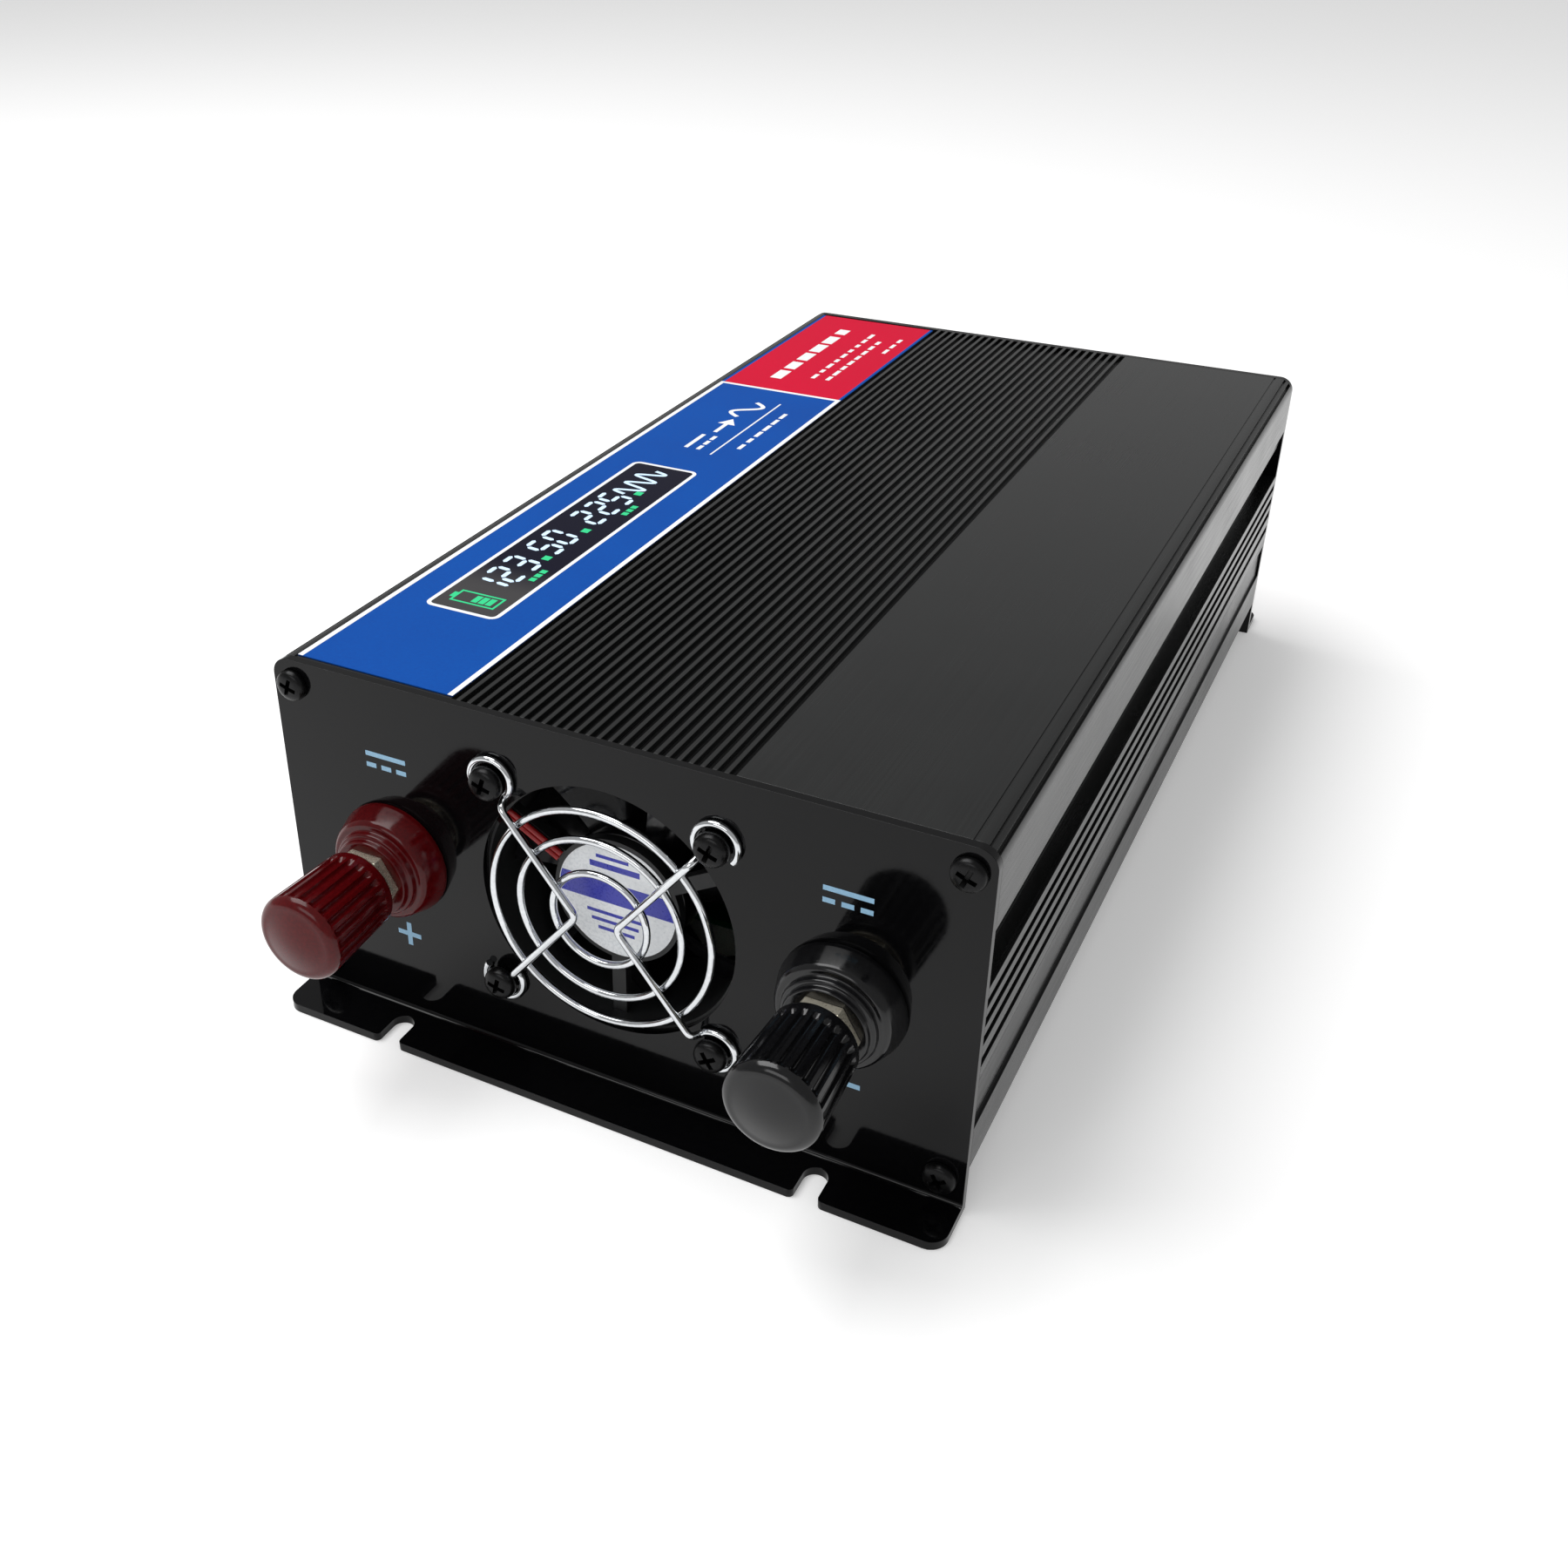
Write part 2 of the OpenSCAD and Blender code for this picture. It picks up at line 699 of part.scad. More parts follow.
module main_board() {
    color("#1d5b35") difference() {
        translate([-board_w / 2, front_y + board_y0, board_z])
            cube([board_w, board_y1 - board_y0, board_t]);
        at_standoffs() translate([0, 0, board_z - 1]) cylinder(d = 3.2, h = board_t + 2);
    }
}

module board_standoffs() {
    color("silver") at_standoffs() translate([0, 0, floor_top + 0.5])
        hexagon_nut(6, 2.5, board_z - floor_top - 0.5);
}

module board_screws() {
    color("silver") at_standoffs() translate([0, 0, board_top]) pan_screw(2.5, 5.6, 1.8, 6);
}

// A thin sheet of fish paper between the floor and the underside of the board
module insulating_sheet() {
    color("#7d8a4a") translate([-64, front_y + board_y0, floor_top])
        cube([128, board_y1 - board_y0, 0.5]);
}

transformer_y = [108, 150];
core = [42, 20, 42];
core_leg = 12;
core_window = [9, 27];
module at_transformers() {
    for (y = transformer_y) translate([-8, front_y + y, board_top]) children();
}

module transformer_cores() {
    yoke = (core[2] - core_window[1]) / 2;
    color("#3a3b3f") at_transformers() difference() {
        translate([-core[0] / 2, -core[1] / 2, 0]) cube(core);
        for (side = [-1, 1])
            translate([side * (core_leg + core_window[0]) / 2 - core_window[0] / 2, -core[1], yoke])
                cube([core_window[0], 2 * core[1], core_window[1]]);
    }
}

module transformer_bobbins() {
    yoke = (core[2] - core_window[1]) / 2;
    flange = [28.6, 34, 1];
    color("#e6e1d2") at_transformers() difference() {
        union() {
            for (z = [yoke, yoke + core_window[1] - flange[2]])
                translate([-flange[0] / 2, -flange[1] / 2, z]) cube(flange);
            translate([-core_leg / 2 - 1, -core[1] / 2 - 1, yoke])
                cube([core_leg + 2, core[1] + 2, core_window[1]]);
        }
        translate([-core_leg / 2, -core[1] / 2, 0]) cube([core_leg, core[1], core[2]]);
    }
}

module transformer_windings() {
    yoke = (core[2] - core_window[1]) / 2;
    color("#d9a441") at_transformers() translate([0, 0, yoke + 1]) difference() {
        union() {
            translate([-14, -11, 0]) cube([28, 22, core_window[1] - 2]);
            translate([-9, -16, 0]) cube([18, 32, core_window[1] - 2]);
        }
        translate([-core_leg / 2 - 1, -core[1] / 2 - 1, -1])
            cube([core_leg + 2, core[1] + 2, core_window[1] + 2]);
    }
}

// A radial capacitor with a rolled groove near its base
module capacitor(d, h) {
    groove = 0.6;
    rotate_extrude() polygon([[0, 0], [d / 2, 0], [d / 2, 2], [d / 2 - groove, 2.6],
        [d / 2 - groove, 3.2], [d / 2, 3.8], [d / 2, h - 0.8], [d / 2 - 0.8, h], [0, h]]);
}

module input_capacitors() {
    color("#1b2a4a") for (x = [-50, -33, -16, 1, 18, 35], y = [60])
        translate([x, front_y + y, board_top]) capacitor(12.5, 25);
}

module output_capacitors() {
    color("#22262e") for (x = [-38, -14])
        translate([x, front_y + 184, board_top]) capacitor(22, 35);
}

// Transistors in two rows, clamped with their tabs against the walls of the base shell
transistor_y = [66, 80, 108, 122, 176, 190, 212, 226];
clamp_y = [73, 115, 183, 219];
clamp_h = 8;
pad_t = 0.4;
tab_t = 4.4;
module transistors() {
    body = [tab_t, 10, 15];
    lead_z = 1;
    color("#141416") both_sides() for (y = transistor_y)
        translate([wall_in - pad_t - tab_t, front_y + y - body[1] / 2, board_top]) {
            translate([0, 0, lead_z]) cube(body);
            for (i = [-1 : 1]) translate([0.4, body[1] / 2 + i * 2.54 - 0.4, 0])
                cube([0.6, 0.8, lead_z + eps]);
        }
}

module thermal_pads() {
    color("#c9ccd1") both_sides() for (y = clamp_y) difference() {
        translate([wall_in - pad_t, front_y + y - 13, board_top + 1]) cube([pad_t, 26, 14.4]);
        translate([wall_in - 1, front_y + y, board_top + clamp_h]) rotate([0, 90, 0])
            cylinder(d = 3, h = 2);
    }
}

module clamp_bars() {
    bar = [3, 28, 8];
    color("#9a9da2") both_sides() for (y = clamp_y) difference() {
        translate([wall_in - pad_t - tab_t - bar[0], front_y + y - bar[1] / 2, board_top + 4])
            cube(bar);
        translate([wall_in - 20, front_y + y, board_top + clamp_h]) rotate([0, 90, 0])
            cylinder(d = 3, h = 30);
    }
}

module clamp_screws() {
    color("silver") both_sides() for (y = clamp_y)
        translate([wall_in - pad_t - tab_t - 3, front_y + y, board_top + clamp_h]) rotate([0, -90, 0])
            pan_screw(3, 5.6, 2, pad_t + tab_t + 3);
}

inductor_place = [34, 196];
inductor_d = [24, 11];
module inductor_core() {
    color("#e3c53a") translate([inductor_place[0], front_y + inductor_place[1], board_top + 20])
        rotate([90, 0, 0]) rotate_extrude($fn = 72) translate([inductor_d[0] / 2, 0])
            square([inductor_d[1] - 4, inductor_d[1]], center = true);
}

module inductor_winding() {
    turns = 22;
    wire_d = 1.4;
    color("#b4652a") translate([inductor_place[0], front_y + inductor_place[1], board_top + 20])
        rotate([90, 0, 0]) for (i = [0 : turns - 1]) rotate([0, 0, i * 330 / turns])
            translate([inductor_d[0] / 2, 0, 0]) rotate([90, 0, 0])
                linear_extrude(height = wire_d, center = true) difference() {
                    square([inductor_d[1] - 4 + 2 * wire_d, inductor_d[1] + 2 * wire_d], center = true);
                    square([inductor_d[1] - 4 + 0.1, inductor_d[1] + 0.1], center = true);
                }
}

module fuses() {
    color("#2f7d3b") for (i = [0 : 3]) translate([-12 + i * 9, front_y + 78, board_top]) {
        translate([-2.6, -9.5, 4]) cube([5.2, 19, 12]);
        for (y = [-7.5, 4.5]) translate([-0.4, y, 0]) cube([0.8, 3, 5]);
    }
}

module control_board() {
    color("#1f5c3a") translate([36, front_y + 96, board_top]) {
        cube([board_t, 60, 26]);
        for (y = [8, 28, 46]) translate([-2.4, y, 8]) cube([2.4 + eps, 8, 10]);
    }
}

// ---- Outlet, switch and mains leads ----

module ac_outlet() {
    plate = [58, 50, 3];
    shell_d = 44.6;
    shell_h = 26;
    color("#151517") on_rear(outlet_x, outlet_z) difference() {
        union() {
            translate([-plate[0] / 2, -plate[1] / 2, 0]) cube(plate);
            translate([0, 0, -shell_h]) cylinder(d = shell_d, h = shell_h + eps, $fn = 96);
        }
        translate([0, 0, plate[2] - outlet_depth]) cylinder(d = outlet_d, h = outlet_depth + 1, $fn = 96);
        for (x = [-9.5, 9.5]) translate([x, 0, -shell_h - 1]) cylinder(d = 5.2, h = shell_h);
        for (x = [-25, 25]) translate([x, 0, -1]) cylinder(d = 3.4, h = plate[2] + 2);
    }
}

module outlet_contacts() {
    color("#c9a227") on_rear(outlet_x, outlet_z) for (x = [-9.5, 9.5]) {
        translate([x, 0, -24]) tube(5.2, 4.2, 8);
        translate([x - 2, -0.5, -34]) cube([4, 1, 8]);
        translate([x, 0, -26 - eps]) cylinder(d = 5.2, h = 2);
    }
}

module outlet_screws() {
    color("silver") for (side = [-1, 1]) on_rear(outlet_x + side * 25, outlet_z)
        translate([0, 0, 3]) pan_screw(3, 6, 2, 9);
}

// The switch's own directions: local Z = 0 is the panel's outer face, and the rocker tips about X
pivot_z = -1.5;
rocker = [19, 26];
pivot_d = 2.5;
module switch_body() {
    bezel = [26, 31, 2];
    shell = [22, 28, 20];
    cavity = [rocker[0] + 0.8, rocker[1] + 1, 10];
    color("#101012") on_rear(switch_x, switch_z) difference() {
        union() {
            translate([-bezel[0] / 2, -bezel[1] / 2, 0]) cube(bezel);
            translate([-shell[0] / 2, -shell[1] / 2, -shell[2]])
                cube([shell[0], shell[1], shell[2] + eps]);
        }
        translate([-cavity[0] / 2, -cavity[1] / 2, bezel[2] + 0.5 - cavity[2]]) cube(cavity);
        translate([-10.5, 0, pivot_z]) rotate([0, 90, 0])
            cylinder(d = pivot_d + 2 * run_fit, h = 21);
    }
}

// The rocker seen from its side: round ends about the pivot, and two faces that meet in a shallow V
module rocker_outline() {
    end_r = rocker[1] / 2;
    under = 2.2;
    valley = 3;
    intersection() {
        circle(r = end_r, $fn = 96);
        polygon([[-end_r, -under], [end_r, -under], [end_r, valley + end_r * tan(rocker_tilt)],
            [0, valley], [-end_r, valley + end_r * tan(rocker_tilt)]]);
    }
}

module switch_rocker() {
    color("#b3141b") on_rear(switch_x, switch_z) translate([0, 0, pivot_z])
        rotate([rocker_tilt, 0, 0]) rotate([90, 0, 90]) {
            translate([0, 0, -rocker[0] / 2]) linear_extrude(height = rocker[0]) rocker_outline();
            translate([0, 0, -10.3]) cylinder(d = pivot_d, h = 20.6);
        }
}

module switch_terminals() {
    color("#d8c9a0") on_rear(switch_x, switch_z) for (x = [-5, 5], y = [-7, 7])
        translate([x - 0.4, y - 3, -30]) cube([0.8, 6, 10]);
}

// Insulated wires from the outlet's contacts and the switch down to the board
module ac_leads() {
    wire_d = 2.6;
    bend = 6;
    color("#3a6ea5") for (x = [outlet_x - 9.5, outlet_x + 9.5]) on_rear(x, outlet_z)
        rear_lead(wire_d, bend, 34, outlet_z);
    color("#3a6ea5") for (x = [switch_x - 5, switch_x + 5]) on_rear(x, switch_z - 7)
        rear_lead(wire_d, bend, 30, switch_z - 7);
}

// One wire: back from a terminal at the given depth, a quarter bend, and straight down to the board
module rear_lead(d, r, depth, z) {
    level = rear_y - (front_y + board_y1) - depth;
    run = max(level + 4 - r, 1);
    translate([0, 0, -depth - run]) {
        cylinder(d = d, h = run);
        rotate([0, 180, 90]) wire_bend(d, r);
        translate([0, -r, -r]) rotate([90, 0, 0]) cylinder(d = d, h = z - r - board_top);
    }
}

top_shell();
base_shell();
front_panel();
rear_panel();
panel_screws();
top_label();
display_lens();
lcd_module();
display_board();
display_spacers();
display_screws();
fan_frame();
fan_stator();
fan_bearings();
fan_rotor();
fan_shaft();
fan_sticker();
fan_guard();
fan_screws();
fan_nuts();
fan_lead();
red_collar();
red_knob();
black_collar();
black_knob();
knob_insert_red();
knob_insert_black();
washer_red();
washer_black();
post_studs();
post_nuts();
post_bushes();
post_lugs();
post_inner_nuts();
dc_lead_red();
dc_lead_black();
main_board();
board_standoffs();
board_screws();
insulating_sheet();
transformer_cores();
transformer_bobbins();
transformer_windings();
input_capacitors();
output_capacitors();
transistors();
thermal_pads();
clamp_bars();
clamp_screws();
inductor_core();
inductor_winding();
fuses();
control_board();
ac_outlet();
outlet_contacts();
outlet_screws();
switch_body();
switch_rocker();
switch_terminals();
ac_leads();
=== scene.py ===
# A power inverter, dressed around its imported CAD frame. Metres, X right, Y back, Z up.
from math import asin, cos, pi, radians, sin, sqrt, tan

import bmesh
import bpy
from mathutils import Matrix, Vector


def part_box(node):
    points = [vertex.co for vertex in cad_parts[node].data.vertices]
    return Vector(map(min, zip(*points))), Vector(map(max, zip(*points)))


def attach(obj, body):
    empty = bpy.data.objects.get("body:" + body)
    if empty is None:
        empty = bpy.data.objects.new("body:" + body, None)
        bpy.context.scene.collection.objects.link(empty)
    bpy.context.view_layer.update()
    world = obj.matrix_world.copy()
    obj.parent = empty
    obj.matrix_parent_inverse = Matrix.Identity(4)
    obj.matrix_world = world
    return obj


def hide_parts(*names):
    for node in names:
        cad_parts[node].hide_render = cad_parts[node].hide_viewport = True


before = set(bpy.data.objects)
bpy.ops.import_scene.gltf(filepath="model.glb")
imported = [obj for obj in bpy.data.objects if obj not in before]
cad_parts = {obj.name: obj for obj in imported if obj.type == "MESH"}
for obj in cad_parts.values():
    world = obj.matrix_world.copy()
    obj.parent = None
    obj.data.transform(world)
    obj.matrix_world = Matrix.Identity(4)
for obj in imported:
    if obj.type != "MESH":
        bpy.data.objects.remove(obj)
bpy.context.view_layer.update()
MM = 0.001

# ---- Stage ----
# A pale seamless floor and soft white light from large sheets, as a product is photographed.
# The camera stands in front, to the right and above, and looks down on the case.
sheet_t = 2 * MM
front_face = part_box("front_panel")[1].y - sheet_t
camera_data = bpy.data.cameras.new("camera")
camera_data.lens = 37.66
camera_data.shift_x = 0.0585
camera_data.shift_y = -0.0523
camera_data.clip_start = 0.01
camera = bpy.data.objects.new("camera", camera_data)
bpy.context.scene.collection.objects.link(camera)
azimuth, elevation, roll = radians(27.49), radians(29.55), radians(-0.16)
stand = Vector((137.6, -226.4, 244.0)) * MM + Vector((0, front_face, 0))
camera.matrix_world = (Matrix.Translation(stand) @ Matrix.Rotation(azimuth, 4, "Z")
                       @ Matrix.Rotation(pi / 2 - elevation, 4, "X") @ Matrix.Rotation(roll, 4, "Z"))
bpy.context.scene.camera = camera
bpy.context.scene.view_settings.view_transform = "Standard"


def link(obj):
    bpy.context.scene.collection.objects.link(obj)
    return obj


def linear(hex_colour):
    """An sRGB hex colour as the linear RGBA that shaders take."""
    parts = [int(hex_colour[i:i + 2], 16) / 255 for i in (1, 3, 5)]
    return [c / 12.92 if c <= 0.04045 else ((c + 0.055) / 1.055) ** 2.4 for c in parts] + [1.0]


def add_node(tree, kind, settings=None, links=None):
    """Adds a node, sets its properties, and fills its inputs with values or with other nodes' outputs."""
    node = tree.nodes.new(kind)
    for key, value in (settings or {}).items():
        setattr(node, key, value)
    for key, value in (links or {}).items():
        if isinstance(value, bpy.types.NodeSocket):
            tree.links.new(value, node.inputs[key])
        else:
            node.inputs[key].default_value = value
    return node


def area_light(name, place, aim, size, watts):
    data = bpy.data.lights.new(name, "AREA")
    data.shape = "RECTANGLE"
    data.size, data.size_y = size
    data.energy = watts
    lamp = link(bpy.data.objects.new(name, data))
    lamp.location = place
    lamp.rotation_euler = (Vector(aim) - Vector(place)).to_track_quat("-Z", "Y").to_euler()


def plain_floor():
    material = bpy.data.materials.new("paper sweep")
    material.use_nodes = True
    shader = material.node_tree.nodes["Principled BSDF"]
    shader.inputs["Base Color"].default_value = linear("#f4f4f4")
    shader.inputs["Roughness"].default_value = 0.9
    shader.inputs["Specular IOR Level"].default_value = 0.1
    shader.inputs["Emission Color"].default_value = linear("#ffffff")
    shader.inputs["Emission Strength"].default_value = 0.25
    mesh = bpy.data.meshes.new("floor")
    half = 6.0
    mesh.from_pydata([(-half, -half, 0), (half, -half, 0), (half, half, 0), (-half, half, 0)], [],
                     [(0, 1, 2, 3)])
    floor = link(bpy.data.objects.new("floor", mesh))
    mesh.materials.append(material)


plain_floor()
world = bpy.data.worlds.new("studio")
bpy.context.scene.world = world
world.use_nodes = True
world.node_tree.nodes["Background"].inputs["Color"].default_value = linear("#ffffff")
world.node_tree.nodes["Background"].inputs["Strength"].default_value = 0.42
area_light("overhead_sheet", (-0.55, -0.1, 1.25), (0, 0, 0), (1.0, 0.9), 15)
area_light("front_sheet", (-0.1, -1.3, 0.8), (0, -0.1, 0.04), (0.9, 0.5), 3.5)

# ---- Case ----
# Two black anodised aluminium extrusions, a ribbed cover and a tray, that meet at a seam along
# each side. The die leaves fine lines along their length, and their edges are slightly broken.


def finish(name, dark, light, roughness, metallic=0.0, grain_mm=0.6, depth_mm=0.01, along=(1, 1, 1),
           specular=0.5, spread=0.08, coarse_mm=25.0):
    """A finish with a fine grain that varies its colour, roughness and relief, and a slow cloudiness."""
    material = bpy.data.materials.new(name)
    material.use_nodes = True
    tree = material.node_tree
    shader = tree.nodes["Principled BSDF"]
    place = add_node(tree, "ShaderNodeTexCoord").outputs["Object"]
    turned = add_node(tree, "ShaderNodeMapping", {}, {"Vector": place, "Scale": along})
    grain = add_node(tree, "ShaderNodeTexNoise", {}, {
        "Vector": turned.outputs[0], "Scale": 1 / (grain_mm * MM), "Detail": 3.0, "Roughness": 0.55})
    cloud = add_node(tree, "ShaderNodeTexNoise", {}, {
        "Vector": place, "Scale": 1 / (coarse_mm * MM), "Detail": 2.0})
    mixed = add_node(tree, "ShaderNodeMath", {"operation": "MULTIPLY_ADD"}, {
        0: cloud.outputs[0], 1: 0.6, 2: grain.outputs[0]})
    tint = add_node(tree, "ShaderNodeMapRange", {}, {
        "Value": mixed.outputs[0], "From Min": 0.5, "From Max": 1.1})
    colour = add_node(tree, "ShaderNodeMix", {"data_type": "RGBA"}, {
        0: tint.outputs[0], 6: linear(dark), 7: linear(light)})
    rough = add_node(tree, "ShaderNodeMapRange", {}, {
        "Value": mixed.outputs[0], "From Min": 0.5, "From Max": 1.1,
        "To Min": max(roughness - spread, 0.02), "To Max": roughness + spread})
    bump = add_node(tree, "ShaderNodeBump", {}, {
        "Height": grain.outputs[0], "Distance": depth_mm * MM, "Strength": 1.0})
    tree.links.new(colour.outputs[2], shader.inputs["Base Color"])
    tree.links.new(rough.outputs[0], shader.inputs["Roughness"])
    tree.links.new(bump.outputs[0], shader.inputs["Normal"])
    shader.inputs["Metallic"].default_value = metallic
    shader.inputs["Specular IOR Level"].default_value = specular
    return material


def baked(obj, name, smooth_deg=35):
    """The object's final shape as a plain mesh at the origin; the object itself is removed.
    Without an angle its shading is kept as it is."""
    bpy.context.view_layer.update()
    graph = bpy.context.evaluated_depsgraph_get()
    mesh = bpy.data.meshes.new_from_object(obj.evaluated_get(graph), depsgraph=graph)
    mesh.transform(obj.matrix_world)
    bpy.data.objects.remove(obj)
    mesh.name = name
    if smooth_deg:
        mesh.shade_smooth()
        mesh.set_sharp_from_angle(angle=radians(smooth_deg))
    return link(bpy.data.objects.new(name, mesh))


def settle(piece, body, nodes, material=None):
    """Gives a finished piece its material, the body it rides on and the nodes it stands for."""
    if material:
        piece.data.materials.clear()
        piece.data.materials.append(material)
    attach(piece, body)
    if nodes:
        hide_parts(*nodes)
    return piece


def meshed(name, bm, face_out=True):
    """A new object from an edited mesh, with its faces turned outward if that is asked."""
    if face_out:
        bmesh.ops.recalc_face_normals(bm, faces=bm.faces)
    mesh = bpy.data.meshes.new(name)
    bm.to_mesh(mesh)
    bm.free()
    return link(bpy.data.objects.new(name, mesh))


def broken_edges(node, name, edge_mm, segments=2):
    """The CAD node's shape with its sharp edges slightly rounded, as every made edge is."""
    bm = bmesh.new()
    bm.from_mesh(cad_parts[node].data)
    bmesh.ops.remove_doubles(bm, verts=bm.verts, dist=0.002 * MM)
    bmesh.ops.dissolve_limit(bm, angle_limit=radians(1), verts=bm.verts, edges=bm.edges)
    obj = meshed(name, bm, False)
    obj.data.shade_smooth()
    bevel = obj.modifiers.new("edge", "BEVEL")
    bevel.width = edge_mm * MM
    bevel.segments = segments
    bevel.limit_method = "ANGLE"
    bevel.angle_limit = radians(35)
    bevel.miter_outer = "MITER_ARC"
    flat = obj.modifiers.new("flat faces", "WEIGHTED_NORMAL")
    flat.keep_sharp = True
    flat.weight = 100
    return baked(obj, name, None)


anodised = finish("black anodised aluminium", "#121313", "#1a1b1b", 0.24, 0.1, grain_mm=0.5,
                  depth_mm=0.005, specular=0.42, along=(1, 0.01, 1), spread=0.06)
anodised_base = finish("black anodised aluminium tray", "#121314", "#1b1c1d", 0.3, 0.3,
                       grain_mm=0.5, depth_mm=0.006, along=(1, 0.01, 1), spread=0.06)
settle(broken_edges("top_shell", "ribbed_cover", 0.15), "case", ["top_shell"], anodised)
settle(broken_edges("base_shell", "case_tray", 0.25), "case", ["base_shell"],
       anodised_base)

# ---- End panels ----
# Two millimetre steel sheet, punched, bent into a foot flange and powder coated in gloss black,
# so the edges are softened by the coat and the faces mirror what stands before them.
powder_coat = finish("gloss black powder coat", "#040405", "#070708", 0.07, grain_mm=1.2,
                     depth_mm=0.0015, specular=0.2, spread=0.03)
settle(broken_edges("front_panel", "front_end_panel", 0.3, 3), "case",
       ["front_panel"], powder_coat)
settle(broken_edges("rear_panel", "rear_end_panel", 0.3, 3), "case",
       ["rear_panel"], powder_coat)


def prisms(name, outlines, place, rise):
    """Flat shapes, each a closed prism: place(u, v, h) puts a point, and h runs from 0 to rise."""
    bm = bmesh.new()
    for outline in outlines:
        lower = [bm.verts.new(place(u, v, 0)) for u, v in outline]
        upper = [bm.verts.new(place(u, v, rise)) for u, v in outline]
        bm.faces.new(lower)
        bm.faces.new(list(reversed(upper)))
        count = len(outline)
        for i in range(count):
            j = (i + 1) % count
            bm.faces.new((lower[j], lower[i], upper[i], upper[j]))
    return meshed(name, bm)


def bar(u0, v0, u1, v1):
    return [(u0, v0), (u1, v0), (u1, v1), (u0, v1)]


# The marks beside the posts are screen printed in pale blue ink: the direct-current sign over
# each post, a plus under the positive one and a minus under the negative one.
ink = finish("pale blue screen ink", "#7fa9c6", "#93bdd8", 0.45, grain_mm=0.3, depth_mm=0.003)
red_low, red_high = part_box("red_collar")
black_low, black_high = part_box("black_collar")
post_z = (red_low.z + red_high.z) / 2
ink_rise = 0.05 * MM


def panel_marks():
    outlines = []
    wide, thick, gap = 10 * MM, 1.1 * MM, 1.6 * MM
    dash = (wide - 2 * gap * 0.8) / 3
    for low_corner, high_corner in ((red_low, red_high), (black_low, black_high)):
        x = (low_corner.x + high_corner.x) / 2
        base = post_z + 22.5 * MM
        outlines.append(bar(x - wide / 2, base + gap, x + wide / 2, base + gap + thick))
        for i in range(3):
            left = x - wide / 2 + i * (dash + gap * 0.8)
            outlines.append(bar(left, base - thick, left + dash, base))
    arm, half = 3.0 * MM, 0.6 * MM
    plus_z = post_z - 20 * MM
    x = (red_low.x + red_high.x) / 2 + 1.5 * MM
    outlines.append(bar(x - arm, plus_z - half, x + arm, plus_z + half))
    outlines.append(bar(x - half, plus_z + half, x + half, plus_z + arm))
    outlines.append(bar(x - half, plus_z - arm, x + half, plus_z - half))
    x = (black_low.x + black_high.x) / 2 + 1.5 * MM
    outlines.append(bar(x - arm, plus_z - half, x + arm, plus_z + half))
    return prisms("panel_marks", outlines, lambda u, v, h: (u, front_face - h, v), ink_rise)


settle(panel_marks(), "case", [], ink)

# ---- Panel screws and guard screws ----
# Black oxide pan-head screws with a cross recess. Each stands at its own turn of the driver.


def bent(points, radius, steps=5):
    """A path whose corners are bent to short smooth arcs, in the plane or in space."""
    out = [Vector(points[0])]
    for before, corner, after in zip(points, points[1:], points[2:]):
        here = Vector(corner)
        a, b = Vector(before) - here, Vector(after) - here
        cut = min(radius, a.length * 0.45, b.length * 0.45)
        start, end = here + a.normalized() * cut, here + b.normalized() * cut
        for i in range(steps + 1):
            t = i / steps
            out.append(start * (1 - t) ** 2 + here * 2 * t * (1 - t) + end * t ** 2)
    out.append(Vector(points[-1]))
    return out


def softened(profile, radius, steps=4):
    """A turned body's profile with its corners rounded off."""
    return [(p.x, p.y) for p in bent(profile, radius, steps)]


def turned(name, profile, segments=64, swell=None):
    """A body turned about Z from (radius, height) points; swell(angle, height) may scale its radius."""
    bm = bmesh.new()
    rings = []
    for r, h in profile:
        if r < 1e-7:
            rings.append([bm.verts.new((0, 0, h))])
            continue
        ring = []
        for i in range(segments):
            a = 2 * pi * i / segments
            scale = swell(a, h) if swell else 0
            ring.append(bm.verts.new(((r + scale) * cos(a), (r + scale) * sin(a), h)))
        rings.append(ring)
    for one, two in zip(rings, rings[1:]):
        for i in range(segments):
            j = (i + 1) % segments
            if len(one) == 1 and len(two) > 1:
                bm.faces.new((one[0], two[j], two[i]))
            elif len(two) == 1 and len(one) > 1:
                bm.faces.new((one[i], one[j], two[0]))
            elif len(one) > 1:
                bm.faces.new((one[i], one[j], two[j], two[i]))
    return meshed(name, bm)


def outward(obj, x, y, z):
    """Turns an object's local Z to point out of the front panel and puts it at a place."""
    obj.matrix_world = Matrix.Translation((x, y, z)) @ Matrix.Rotation(pi / 2, 4, "X")
    return obj


